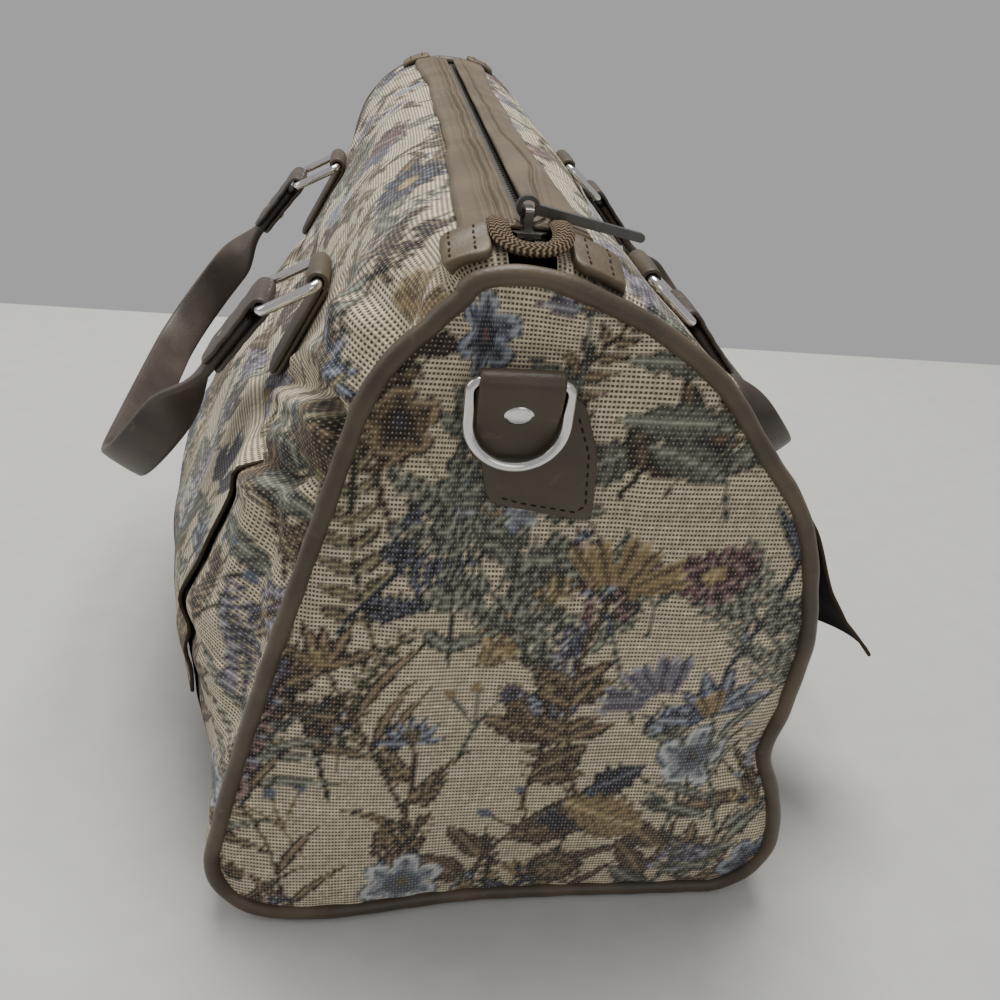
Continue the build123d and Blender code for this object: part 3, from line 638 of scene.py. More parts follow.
def plant(loom, foot, height, heading):
    """One wild plant: a curved stem, leaves up it, side shoots and a flower head."""
    rng = loom.rng
    bend = rng.uniform(-0.9, 0.9)
    xs, ys, turns = growth(foot, heading, height, bend)
    steps = np.linspace(0, 1, len(xs))
    stem = STEMS[rng.integers(len(STEMS))]
    yarns = HEADS[rng.integers(len(HEADS))]
    heart = (OCHRE, WINE, OLIVE, NIGHT)[rng.integers(4)]
    kind, leafing = rng.integers(5), rng.integers(4)
    loom.stem(list(zip(xs, ys)), rng.uniform(1.5, 2.4), stem)
    for i in range(max(int(height / rng.uniform(11, 17)), 2)):
        share = rng.uniform(0.04, 0.82)
        at = (np.interp(share, steps, xs), np.interp(share, steps, ys))
        heading = np.interp(share, steps, turns)
        side = -1 if i % 2 else 1
        if leafing == 0:
            turn, size, wide = rng.uniform(0.35, 0.8), rng.uniform(24, 44), rng.uniform(3.5, 5.5)
            loom.leaf(at, heading + side * turn, size, wide, stem, side * 0.3)
        elif leafing == 1:
            size, turn, broad = rng.uniform(18, 34), rng.uniform(0.6, 1.2), rng.uniform(0.36, 0.52)
            loom.leaf(at, heading + side * turn, size, size * broad, stem, side * 0.15, 0.25)
        elif leafing == 2:
            size, turn, bend_on = rng.uniform(20, 34), rng.uniform(0.5, 1.0), rng.uniform(0.2, 0.9)
            loom.fern(at, heading + side * turn, size, stem, -side * bend_on, 6, 0.8)
        else:
            size = rng.uniform(10, 19)
            for way in (side, -side):
                loom.leaf(at, heading + way * rng.uniform(0.7, 1.3), size, size * 0.5, stem, side * 0.1)
    if rng.random() < 0.55:
        i = int(rng.integers(8, 15))
        shoot = growth((xs[i], ys[i]), turns[i] + rng.choice((-0.7, 0.7)), height * 0.3, -bend, 10)
        loom.stem(list(zip(*shoot[:2])), 1.5, stem)
        tip_x, tip_y, tip_turn = (part[-1] for part in shoot)
        head_of(loom, (tip_x, tip_y), tip_turn, rng.uniform(6, 10), int(rng.integers(4)), yarns, heart)
    if rng.random() < 0.25:
        loom.spike((xs[9], ys[9]), turns[9], height * 0.6, yarns, (LILAC, BLUE, SAGE)[rng.integers(3)])
    else:
        head_of(loom, (xs[-1], ys[-1]), turns[-1], rng.uniform(13, 23), kind, yarns, heart)


def meadow(across, up, seed):
    """A cloth woven all over with plants that grow up it, in rows behind one another."""
    loom = Loom(across, up, seed)
    rng = loom.rng
    for floor in np.arange(up - 88, -70, -60):
        x = rng.uniform(-30, 0)
        while x < across + 12:
            yarns, heading = PALE[rng.integers(4)], rng.uniform(-0.7, 0.7)
            if rng.random() < 0.5:
                foot, length = (x, floor + rng.uniform(-20, 20)), rng.uniform(55, 105)
                bend, pairs, size = rng.uniform(-0.9, 0.9), int(rng.integers(8, 12)), rng.uniform(0.4, 0.7)
                loom.fern(foot, heading, length, yarns, bend, pairs, size)
            else:
                foot, length = (x, floor + rng.uniform(10, 50)), rng.uniform(26, 46)
                loom.sprig(foot, heading, length, yarns, HEADS[rng.integers(9)])
            x += rng.uniform(34, 66)
        x = rng.uniform(-8, 22)
        while x < across + 8:
            plant(loom, (x, floor + rng.uniform(-22, 22)), rng.uniform(60, 120), rng.uniform(-0.5, 0.5))
            x += rng.uniform(24, 40)
    x = rng.uniform(0, 20)
    while x < across:
        plant(loom, (x, -6), rng.uniform(22, 44), rng.uniform(-0.4, 0.4))
        x += rng.uniform(40, 64)
    uneven = rng.normal(1, 0.055, (loom.rows, loom.columns, 1))
    streak = rng.normal(1, 0.03, (loom.rows, 1, 1))
    loom.picture = np.clip(loom.picture * uneven * streak, 0, 255) / 255
    return loom


def linear(colours):
    """Colours of 0 to 1 as the linear ones that a colour attribute takes."""
    return np.where(colours <= 0.04045, colours / 12.92, ((colours + 0.055) / 1.055) ** 2.4)


def weave(name, places, loom, outward, keep=None, pick=(0, 0), coarse=1):
    """A cloth with one face for each stitch. Row 0 of places is the cloth's lowest edge."""
    rows, columns = places.shape[0] - 1, places.shape[1] - 1
    quads = grid_faces(rows + 1, columns + 1)
    if outward < 0:
        quads = quads[:, ::-1]
    corner = np.moveaxis(np.indices((rows + 1, columns + 1)), 0, -1).reshape(-1, 2)
    row, column = pick
    window = (slice(row, row + rows * coarse, coarse), slice(column, column + columns * coarse, coarse))
    yarns = np.concatenate([loom.picture[window], loom.ground[window][..., None]], -1)
    yarns = np.pad(yarns, ((0, 1), (0, 1), (0, 0)), "edge").reshape(-1, 4)
    yarns[:, :3] = linear(yarns[:, :3])
    if keep is not None:
        quads = quads[keep.reshape(-1)]
    used, packed = np.unique(quads, return_inverse=True)
    packed = packed.reshape(quads.shape)
    piece = finish_piece(name, places.reshape(-1, 3)[used], packed, "tapestry", tapestry_cloth)
    mesh = piece.data
    uv = mesh.uv_layers.new(name="stitches")
    stitch = corner[quads.reshape(-1)][:, ::-1] * coarse + (column, row) + 0.5
    uv.data.foreach_set("uv", stitch.astype(np.float32).ravel())
    layer = mesh.color_attributes.new("picture", "FLOAT_COLOR", "POINT")
    layer.data.foreach_set("color", yarns[used].astype(np.float32).ravel())
    return piece


# The wrap's two sides, from the seam of the base up to the zip
outlines = {}
for side in (-1, 1):
    ends, middles, depth, from_zip = [], [], [], 0.0
    for end_run, middle_run in zip(side_outline(end_section, side), side_outline(middle_section, side)):
        length = (spaced(end_run, 1)[1] + spaced(middle_run, 1)[1]) / 2
        count = max(round(length / stitch_up), 1)
        first = 0 if not ends else 1
        ends.append(spaced(end_run, count)[0][first:])
        middles.append(spaced(middle_run, count)[0][first:])
        depth.append((from_zip + np.linspace(0, length, count + 1))[first:])
        from_zip += length
    outlines[side] = tuple(np.concatenate(part)[::-1] for part in (ends, middles, depth))


def side_folds(side, depth, y, z):
    """How far a side's cloth stands off its plain form: folds, drag lines and puckers at the seams."""
    seam = wrap_half_length - np.abs(y)
    off = 1.5 * ripple(depth, y, 95, 11 + side) * smoothstep(0, 30, seam)
    off = off + 0.6 * ripple(depth * 1.6, y, 38, 21 + side)
    off = off - 2.2 * (1 - smoothstep(0, 4.5, seam))
    gather = np.sin(depth * math.tau / 17 + 2.2 * np.sin(depth / 23))
    off = off + 0.7 * gather * np.exp(-seam / 11) * smoothstep(2, 6, seam)
    if side < 0:
        off = off - 6.5 * hump(y, -190, 7) * smoothstep(62, 100, z) * (1 - smoothstep(232, 252, z))
        off = off + 7.5 * hump(y, -164, 15) * hump(z, 226, 17)
        off = off + 8.5 * hump(y, -158, 20) * smoothstep(64, 110, z) * (1 - smoothstep(160, 190, z))
        folds = (
            (((-114, 190), (-140, 198), (-165, 205), (-181, 204), (-192, 196)), 4.0, 8.0),
            (((-92, 176), (-120, 186), (-142, 193), (-177, 204)), 3.4, 5.5),
            (((-118, 226), (-150, 233), (-178, 238), (-194, 236)), 4.0, 2.2),
            (((-126, 178), (-152, 168), (-172, 176), (-188, 186)), 5.0, 6.0),
            (((-170, 190), (-176, 160), (-180, 130), (-186, 100)), 5.0, 4.5),
            (((-196, 112), (-176, 104), (-150, 92), (-110, 84)), 6.0, 2.6),
            (((-66, 206), (-20, 194), (40, 194), (72, 206)), 8.0, 2.4),
            (((112, 214), (134, 204), (166, 190), (192, 160)), 5.0, 2.8),
            (((60, 150), (110, 130), (150, 124), (194, 110)), 7.0, 2.2),
        )
    else:
        off = off - 3.5 * hump(y, -186, 9) * smoothstep(110, 140, z) * (1 - smoothstep(200, 226, z))
        off = off - 4.5 * hump(z, 80, 13) * smoothstep(-60, -170, y)
        folds = (
            (((-112, 222), (-140, 214), (-170, 200), (-194, 180)), 4.2, 2.8),
            (((-120, 204), (-150, 190), (-178, 172), (-194, 156)), 5.0, 2.6),
            (((-60, 205), (-10, 194), (40, 194), (70, 205)), 8.0, 2.4),
            (((112, 216), (140, 202), (170, 186), (194, 166)), 5.0, 2.8),
            (((196, 96), (160, 84), (110, 78), (40, 80)), 7.0, 3.0),
        )
    for path, width, pressed in folds:
        off = off + crease(y, z, path, width, pressed)
    under_leather = smoothstep(18, 13, np.abs(np.abs(y) - ring_y)) * smoothstep(168, 176, z)
    clear = (1 - under_leather) * smoothstep(14, 26, depth)
    pressed_flat = 0.2 + 2.0 * (1 - smoothstep(0, 4.5, seam))
    return (off * clear - pressed_flat * (1 - clear)) * smoothstep(0, 9, z)


def side_surface(side, ys, rows=slice(None), extra=0.0):
    """Points of a side: a row for each stitch from the base's seam up, a column for each y."""
    ends, middles, depth = (part[rows] for part in outlines[side])
    share = 1 - np.minimum(np.abs(ys) / wrap_half_length, 1) ** 2
    flat = ends[:, None, :] + (middles - ends)[:, None, :] * share[None, :, None]
    step = np.gradient(flat, axis=0)
    normal = side * np.stack([step[..., 1], -step[..., 0]], -1)
    normal /= np.linalg.norm(normal, axis=-1, keepdims=True) + 1e-9
    x, z = flat[..., 0], flat[..., 1]
    y = np.broadcast_to(ys[None, :], x.shape)
    stand = extra + side_folds(side, depth[:, None], y, z)
    points = np.stack([x + normal[..., 0] * stand, y, np.maximum(z + normal[..., 1] * stand, 0.0)], -1)
    return slump(points)


looms = {-1: meadow(405, 345, 5), 1: meadow(405, 345, 8)}
cloth_half = wrap_half_length + 1.6
side_columns = round(2 * cloth_half / stitch_across)
side_cloth = {}
for side, name in ((-1, "left"), (1, "right")):
    ys = np.linspace(-cloth_half, cloth_half, side_columns + 1)
    points = side_surface(side, ys)
    spare = looms[side].rows - (points.shape[0] - 1)
    side_cloth[side] = weave(f"side_cloth_{name}", points, looms[side], side, pick=(spare, 0))
    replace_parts(side_cloth[side], f"side_panel_{name}")

# The flat base, its stitches twice the size
base_loom = meadow(180, 405, 17)
halves_and_stitches = ((base_half + 0.4, stitch_across), (cloth_half, stitch_up))
xs, ys = (np.linspace(-half, half, round(half / size) + 1) for half, size in halves_and_stitches)
gx, gy = np.meshgrid(xs, ys)
base_points = slump(np.stack([gx, gy, np.zeros_like(gx)], -1))
base_cloth = weave("base_cloth", base_points, base_loom, -1, coarse=2)
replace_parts(base_cloth, "base_panel")


# The two ends and the piping round them
def inside_depth(points, outline):
    """How deep points lie inside a closed outline. It is negative outside."""
    x, z = points[..., 0], points[..., 1]
    depth = np.full(x.shape, 1e9)
    crossings = np.zeros(x.shape, int)
    for (x0, z0), (x1, z1) in zip(outline, np.roll(outline, -1, 0)):
        run = (x1 - x0) ** 2 + (z1 - z0) ** 2 + 1e-12
        t = np.clip(((x - x0) * (x1 - x0) + (z - z0) * (z1 - z0)) / run, 0, 1)
        depth = np.minimum(depth, np.hypot(x - x0 - t * (x1 - x0), z - z0 - t * (z1 - z0)))
        if z0 != z1:
            crossings += ((z0 > z) != (z1 > z)) & (x < x0 + (z - z0) * (x1 - x0) / (z1 - z0))
    return np.where(crossings % 2 == 1, depth, -depth)


def end_bulge(x, z, depth):
    """How far an end's cloth swells out of its plane."""
    full = 3.4 * smoothstep(0, 42, depth) - 0.9 * (1 - smoothstep(3, 8, depth))
    wave = 0.7 * ripple(x, z, 70, 31) * smoothstep(6, 30, depth)
    gather = 0.35 * np.sin(np.arctan2(z - 110, x) * 42) * np.exp(-depth / 9)
    tab = smoothstep(150, 176, z) * (1 - smoothstep(24, 34, np.abs(x + 2)))
    high = smoothstep(140, 185, z)
    return (full + wave + gather) * (1 - 0.72 * high) * (1 - tab) - 0.1 * tab


end_outline = closed_outline(end_section, piping_radius, 420)
for side, name, seed in ((-1, "front", 3), (1, "rear", 9)):
    loom = meadow(240, 268, seed)
    xs, zs = np.arange(loom.columns + 1) * stitch_across - 120, np.arange(loom.rows + 1) * stitch_up - 2
    gx, gz = np.meshgrid(xs, zs)
    depth = inside_depth(np.stack([gx, gz], -1), end_outline)
    middles = (depth[:-1, :-1] + depth[1:, :-1] + depth[:-1, 1:] + depth[1:, 1:]) / 4
    points = np.stack([gx, side * (end_plane + end_bulge(gx, gz, depth)), np.maximum(gz, 0.3)], -1)
    cloth = weave(f"end_cloth_{name}", slump(points), loom, -side, keep=middles > 0)
    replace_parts(cloth, f"end_panel_{name}")


def tube_ends(rings, around, start=0):
    """The two faces that close a tube."""
    last = start + (rings - 1) * around
    return [tuple(start + j for j in range(around))[::-1], tuple(last + j for j in range(around))]


def sweep(name, centres, wides, sections, slot, material, body="bag", joined=False):
    """A strip with a changing section, as (across, out) pairs, carried along a line."""
    centres, wides = np.asarray(centres, float), np.asarray(wides, float)
    wides = wides / np.linalg.norm(wides, axis=1, keepdims=True)
    if joined:
        tangents = np.roll(centres, -1, 0) - np.roll(centres, 1, 0)
    else:
        tangents = np.gradient(centres, axis=0)
    thins = np.cross(tangents, wides)
    thins = thins / np.linalg.norm(thins, axis=1, keepdims=True)
    count, around = len(centres), len(sections[0])
    points = []
    for centre, wide, thin, section in zip(centres, wides, thins, sections):
        points += [centre + across * wide + out * thin for across, out in section]
    faces = tube_faces(count, around, joined)
    if not joined:
        faces += tube_ends(count, around)
    return closed_piece(name, points, faces, slot, material, body=body)


# The corners of a rectangle, anticlockwise: their signs, and where each one's round starts
quarters = ((1, 1, 0), (-1, 1, 90), (-1, -1, 180), (1, -1, 270))


def soft_section(width, thickness, edge, swell=0.0):
    """A flat strap's section with rounded edges and a slightly swollen face."""
    half, rim = width / 2, thickness / 2
    edge = min(edge, rim, half)
    points = []
    for sx, sz, start in quarters:
        for turn in (0, 30, 60, 90):
            t = math.radians(start + turn)
            points.append((sx * (half - edge) + edge * math.cos(t), sz * (rim - edge) + edge * math.sin(t)))
        if swell and start in (0, 180):
            for share in (0.5, 0.0, -0.5):
                points.append((sx * share * half, sz * (rim + swell * (1 - share * share))))
    return points


def ring_section(radius, count=12):
    """A round section."""
    return arc((0, 0, radius), 0, math.tau, count + 1)[:-1]


for side, name in ((-1, "front"), (1, "rear")):
    line = closed_outline(end_section, piping_radius, 330)
    middles = slump(np.stack([line[:, 0], np.full(len(line), side * (end_plane - 1)), line[:, 1]], 1))
    middles[:, 2] = np.maximum(middles[:, 2], piping_radius)
    turns = np.arange(len(line)) * math.tau / len(line)
    wobble = 1 + 0.03 * np.sin(turns * 47) + 0.02 * np.sin(turns * 19)
    out = [(0, 1, 0)] * len(line)
    sections = [ring_section(piping_radius * share) for share in wobble]
    details = ("piping_leather", piping_leather)
    piping = sweep(f"piping_roll_{name}", middles, out, sections, *details, joined=True)
    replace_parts(piping, f"piping_{name}")

# Lining, four millimetres inside the cloth
lining_points, lining_faces = [], []


def line_with(grid):
    """Adds a grid of points to the lining."""
    start = sum(len(part) for part in lining_points)
    lining_points.append(grid.reshape(-1, 3))
    lining_faces.extend(grid_faces(*grid.shape[:2], start).tolist())


lining_gap, lining_half = 4.0, 198
for side in (-1, 1):
    rows = list(range(0, len(outlines[side][0]), 4))
    line_with(side_surface(side, np.linspace(-lining_half, lining_half, 100), rows, -lining_gap))
gx, gy = np.meshgrid(np.linspace(-90, 90, 12), np.linspace(-lining_half, lining_half, 30))
line_with(np.stack([gx, gy, np.full_like(gx, lining_gap)], -1))
for side in (-1, 1):
    rim = closed_outline(end_section, 6.5, 120)
    middle = np.array([-5.0, 110.0])
    rings = np.stack([middle + (rim - middle) * share for share in (1, 0.75, 0.5, 0.25, 0.02)])
    rings = np.concatenate([rings, rings[:, :1]], 1)
    across, up = rings[..., 0], rings[..., 1]
    line_with(slump(np.stack([across, np.full_like(across, side * (end_plane - 4.5)), up], -1)))
lining = finish_piece("lining_cloth", np.concatenate(lining_points), lining_faces, "lining", black_lining)
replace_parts(lining, "lining")


# Leather along the zip
def crown_point(across, height, y):
    """A point over the bag's crown: across from the zip's middle and a height off the wrap."""
    reach = top_radius + height
    return (top_lean + across, y, top_height + math.sqrt(max(reach**2 - across**2, 0)))


def band_outer(y):
    """A band is wider towards its ends, and a little uneven."""
    away = abs(y) / band_half_length
    return 16.6 + 3.4 * smoothstep(0.35, 1.0, away) + 0.5 * math.sin(y / 21) + 0.3 * math.sin(y / 8.3)


def band_height(across, y, outer, grooves):
    """The top of a band: rounded rims, and a dip and two lips along each groove."""
    from_inner, from_outer = min((across - band_inner) / 0.6, 1), min((outer - across) / 1.2, 1)
    height = 1.95 - 0.7 * (1 - from_inner) ** 2 - 1.2 * (1 - from_outer) ** 2
    height += 0.18 * math.sin(y / 13 + across * 0.35) - 0.85 * (1 - smoothstep(2, 6, across))
    for at, width, deep in grooves:
        height -= deep * math.exp(-(((across - at) / width) ** 2))
        height += 0.4 * math.exp(-(((across - at - 1.4) / 0.9) ** 2))
        if across > 3:
            height += 0.4 * math.exp(-(((across - at + 1.4) / 0.9) ** 2))
    return height


def band_section(side, y):
    """A band's section: two narrow ridges on the left, an overlap on the right."""
    outer, inner = band_outer(y), band_inner
    swing = 0.35 * math.sin(y / 17 + side) + 0.25 * math.sin(y / 6.1)
    if side < 0:
        grooves = ((4.6 + swing, 0.55, 1.1), (7.6 + swing, 0.55, 1.0), (10.2 + swing, 0.8, 0.35))
    else:
        lap = 6.2 + 4.6 * math.exp(-(((y + 96) / 40) ** 2)) + swing
        grooves = ((lap, 0.6, 1.15), (lap + 2.2, 0.7, 0.3))
    tape_top, bottom = 264.5, 263.75
    section = []
    face = np.linspace(inner + 1.0, outer - 1.2, 38)
    for across in (inner, inner + 0.2, inner + 0.6, *face, outer - 0.6, outer - 0.2, outer):
        x, _, z = crown_point(side * across, band_height(across, y, outer, grooves), y)
        section.append((x, y, max(z, tape_top) if across < 7 else z))
    section += [crown_point(side * across, rise, y) for across, rise in ((outer, 0.1), (12, 0.1), (8, 0.25))]
    section += [(top_lean + side * across, y, bottom) for across in (6.6, inner)]
    return section


for side, name in ((-1, "left"), (1, "right")):
    sections = [band_section(side, y) for y in np.linspace(-band_half_length, band_half_length, 186)]
    size = len(sections), len(sections[0])
    faces = tube_faces(*size) + tube_ends(*size)
    band = closed_piece(f"zip_band_{name}", np.concatenate(sections), faces, "trim_leather", trim_leather)
    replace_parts(band, f"top_band_{name}")


def pad(name, outline, place, thickness, edge, material, swell, back=0.0):
    """A leather patch with rounded edges. place turns (u, v, height) into a point."""
    outline = np.asarray(outline, float)
    middle = outline.mean(0)
    size = np.abs(outline - middle).min(0).sum() + np.hypot(*(outline - middle).T).mean()
    levels = [(1.0, back), (1.0, thickness - edge)]
    for turn in (30, 60, 90):
        t = math.radians(turn)
        levels.append((1 - edge * (1 - math.cos(t)) / size, thickness - edge + edge * math.sin(t)))
    last, rings = levels[-1][0], 7
    for i in range(1, rings):
        share = last * (1 - i / rings)
        levels.append((share, thickness + swell * (1 - share**2)))
    points = [place(*(middle + (p - middle) * share), height) for share, height in levels for p in outline]
    around, tip = len(outline), len(points)
    faces = tube_faces(len(levels), around)
    rim = tip - around
    faces += [(rim + j, rim + (j + 1) % around, tip) for j in range(around)]
    faces += [((j + 1) % around, j, tip + 1) for j in range(around)]
    points += [place(*middle, thickness + swell), place(*middle, back)]
    return closed_piece(name, points, faces, "trim_leather", material)


def filled(points, spacing=1.6):
    """A closed outline with more points along its straight stretches."""
    points = [np.asarray(point, float) for point in points]
    more = []
    for a, b in zip(points, points[1:] + points[:1]):
        steps = max(int(math.dist(a, b) / spacing), 1)
        more += [a + (b - a) * i / steps for i in range(steps)]
    return more


def rounded_box(width, height, corner):
    """A rounded rectangle's outline round the origin."""
    points = []
    for sx, sz, start in quarters:
        centre = (sx * (width / 2 - corner), sz * (height / 2 - corner))
        points += arc((*centre, corner), math.radians(start), math.radians(start + 90), 7)
    return filled(points)


def stitches(name, line, place, pitch, length, height, radius=0.42):
    """A row of thread stitches along a line on a surface."""
    line = np.array(line, float)
    run = run_along(line)
    around, stages = 6, ((0, 0.35), (0.2, 1), (0.8, 1), (1, 0.35))
    points, faces = [], []
    for at in np.arange(pitch / 2, run[-1], pitch):
        a, b = (np.array([np.interp(at + s * length / 2, run, line[:, k]) for k in (0, 1)]) for s in (-1, 1))
        along = (b - a) / (np.hypot(*(b - a)) + 1e-9)
        across = np.array([-along[1], along[0]])
        start = len(points)
        for share, size in stages:
            centre = a + (b - a) * share
            sink = 0.35 * (1 - math.sin(math.pi * min(max(share, 0.05), 0.95)))
            for t in np.linspace(0, math.tau, around, endpoint=False):
                side = centre + across * radius * size * math.cos(t)
                points.append(place(*side, height - sink + radius * size * math.sin(t)))
        size = (len(stages), around)
        faces += tube_faces(*size, start=start) + tube_ends(*size, start)
    return closed_piece(name, points, faces, "trim_leather", thread_brown)


# Folded leather trims over the ends of the bands
trim_across, trim_width, trim_length = 19.3, 15.5, 17
for end, place_name in ((-1, "front"), (1, "rear")):
    for side, name in ((-1, "left"), (1, "right")):
        middle_y = end * (wrap_half_length - trim_length / 2)

        def on_trim(u, v, height, side=side, middle_y=middle_y):
            """A trim's point: across and along its middle, and a height over the wrap."""
            across = trim_across + u
            uneven = 0.5 + 0.25 * math.sin(v * 0.5 + across * 0.3)
            return slump(np.array(crown_point(side * across, height + uneven, middle_y + v)))

        box = rounded_box(trim_width, trim_length, 3.2)
        trim = pad(f"trim_{place_name}_{name}", box, on_trim, 2.4, 1.1, trim_leather, 0.3, back=-0.2)
        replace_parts(trim, f"zip_trim_{place_name}_{name}")
        for row, u in enumerate((-3.2, 3.6)):
            line = [(u + 0.2 * math.sin(v), v) for v in np.linspace(-7.2, 7.2, 12)]
            stitches(f"trim_stitches_{place_name}_{name}_{row}", line, on_trim, 2.7, 1.9, 2.62)

# The zip's tape curls round in a loop where it ends, at the front
curl_half, curl_y, curl_z = 9.0, -190.5, 264.4
legs = [(y, curl_z + 1.3 * smoothstep(-180, -186, y)) for y in np.linspace(-180, curl_y, 7)]
curl = [(top_lean - curl_half, y, z) for y, z in legs]
for t in np.linspace(0, math.pi, 25)[1:]:
    across, out = math.cos(t), math.sin(t)
    curl.append((top_lean - curl_half * across, curl_y - 8.8 * out, curl_z + 1.3 - 0.6 * out))
curl += [(top_lean + curl_half, y, z) for y, z in legs[-2::-1]]
curl = np.array(curl) - [(0, 0, 2.6 * smoothstep(-187, -200, p[1])) for p in curl]
wides = np.cross(np.gradient(curl, axis=0), [(0, 0, 1)] * len(curl))
tape_section = soft_section(6.4, 2.6, 1.3, 0.5)
tape_curl = sweep("tape_curl", curl, wides, [tape_section] * len(curl), "zip_tape", woven_tape)
uv = tape_curl.data.uv_layers.new(name="along")
runs = run_along(curl)
for loop in tape_curl.data.loops:
    i, j = divmod(loop.vertex_index, len(tape_section))
    uv.data[loop.index].uv = (runs[i], tape_section[j][0] + 4)


# Handles and their rings' leather
def wall_place(side, height, y):
    """The plain wrap at a height and y: its x, and the outward direction of its section."""
    ends, middles, _ = outlines[side]
    flat = ends + (middles - ends) * (1 - (y / wrap_half_length) ** 2)
    low, x, high = (np.interp(height + step, flat[:, 1], flat[:, 0]) for step in (-1, 0, 1))
    normal = np.array([2.0, low - high]) * side
    return x, normal / np.hypot(*normal)


def round_tip(width, corner, from_tip, least):
    """A strap's width near a rounded tip, at distances from the tip."""
    cut = np.maximum(corner - from_tip, 0) ** 2
    return width - 2 * (corner - np.sqrt(np.maximum(corner**2 - cut, least)))


def chape(name, side, fold, middle_y):
    """The leather that holds a ring: up the wall, round the ring's bar and down behind."""
    wall = []
    for height in np.linspace(fold[1] - 40, fold[1] - 3.5, 14):
        x, (nx, nz) = wall_place(side, height, ring_y)
        wall.append((x, height, nx, nz))
    outer_leg, inner_leg = ([(x + off * nx, z + off * nz) for x, z, nx, nz in wall] for off in (3.1, 1.1))
    _, top_normal = wall_place(side, fold[1], ring_y)
    start = math.atan2(top_normal[1], top_normal[0])
    bend = arc((*fold, 3.2), start - side * 0.5, start + side * (math.pi + 0.2), 12)
    if (bend[0][0] - bend[-1][0]) * side < 0:
        bend = bend[::-1]
    line = outer_leg + bend + inner_leg[::-1]
    run = run_along(line)
    widths = round_tip(ring_leather_width, 5.0, np.minimum(run, run[-1] - run), 0.01)
    sections = [soft_section(width, 1.8, 0.8, 0.25) for width in widths]
    centres = [(x, middle_y, z) for x, z in line]
    return sweep(name, centres, [(0, 1, 0)] * len(line), sections, "trim_leather", tab_leather)


def handle_end(name, bar_point, strap_dir, outward, middle_y, body):
    """A folded tube of leather round a ring's outer bar, its legs closing on the strap."""
    length, bar_radius = 34, 3.25
    legs = np.linspace(length, 2.5, 20)
    gap = 2.95 + 0.35 * smoothstep(12, 3, legs) + 0.12 * np.sin(legs * 0.7)
    line = list(zip(legs, gap)) + arc((0, 0, bar_radius), math.pi / 2, 1.5 * math.pi, 15)
    line += list(zip(legs[::-1], -gap[::-1]))
    centres = [bar_point + strap_dir * a + outward * h + (0, middle_y, 0) for a, h in line]
    from_tip = np.array([length - a for a, _ in line])
    widths = round_tip(ring_leather_width, 9.0, from_tip, 0.04)
    sections = [soft_section(width, 1.7, 0.8, 0.2) for width in widths]
    wides = [(0, 1, 0)] * len(line)
    return sweep(name, centres, wides, sections, "handle_leather", handle_leather, body=body)


def strap_path():
    """Half of a strap: its points (y, along), and its turn from flat to on edge in degrees."""
    bend, twist_start, twist_end = 40, 36, 70
    path = [(-ring_y, along) for along in np.linspace(7, twist_start, 10)]
    turns = [0] * len(path)
    for along in np.linspace(twist_start, twist_end, 18)[1:]:
        path.append((-ring_y, along))
        turns.append(90 * smoothstep(twist_start - 2, twist_end, along))
    for t in np.radians(np.linspace(0, 90, 20)[1:]):
        path.append((bend - ring_y - bend * math.cos(t), twist_end + bend * math.sin(t)))
    grip = ring_y - bend
    path += [(y, twist_end + bend + 1 - (y / grip) ** 2) for y in np.linspace(-grip, 0, 14)[1:]]
    return path, turns + [90] * (len(path) - len(turns))


# Each side's fold of the chape and outer bar of the ring, as (x, z), and how steeply the strap hangs
handle_sides = (
    (-1, "left", (-74.89, 219.02), (-96.08, 207.75), 53, 0.0),
    (1, "right", (49.40, 227.70), (67.79, 212.27), 49, 0.1),
)
for side, name, fold, bar, angle, tuck in handle_sides:
    strap_dir = np.array([side * math.cos(math.radians(angle)), 0, -math.sin(math.radians(angle))])
    strap_normal = np.cross((0.0, 1.0, 0.0), strap_dir)
    bar_point = np.array([bar[0], 0, bar[1]])
    body = f"handle_{name}"
    for end, place_name in ((-1, "front"), (1, "rear")):
        where, middle_y = f"{name}_{place_name}", end * ring_y
        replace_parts(chape(f"chape_leather_{where}", side, fold, middle_y), f"chape_{where}")
        place = (bar_point, strap_dir, strap_normal * side, middle_y)
        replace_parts(handle_end(f"handle_leather_{where}", *place, body), f"handle_end_{where}")

    path, turns = strap_path()
    path += [(-y, along) for y, along in path[-2::-1]]
    turns = np.radians(turns + [180 - turn for turn in turns[-2::-1]])
    reach = [along * (1 - tuck * smoothstep(34, 90, along)) for _, along in path]
    centres = [bar_point + (0, y, 0) + strap_dir * along for (y, _), along in zip(path, reach)]
    wides = [np.array([0, math.cos(t), 0]) - strap_normal * math.sin(t) for t in turns]
    sections = [soft_section(20 - abs(math.cos(t)), 4, 1.7, 0.35) for t in turns]
    details = ("handle_leather", handle_leather)
    strap = sweep(f"strap_leather_{name}", centres, wides, sections, *details, body=body)
    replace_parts(strap, f"handle_strap_{name}")


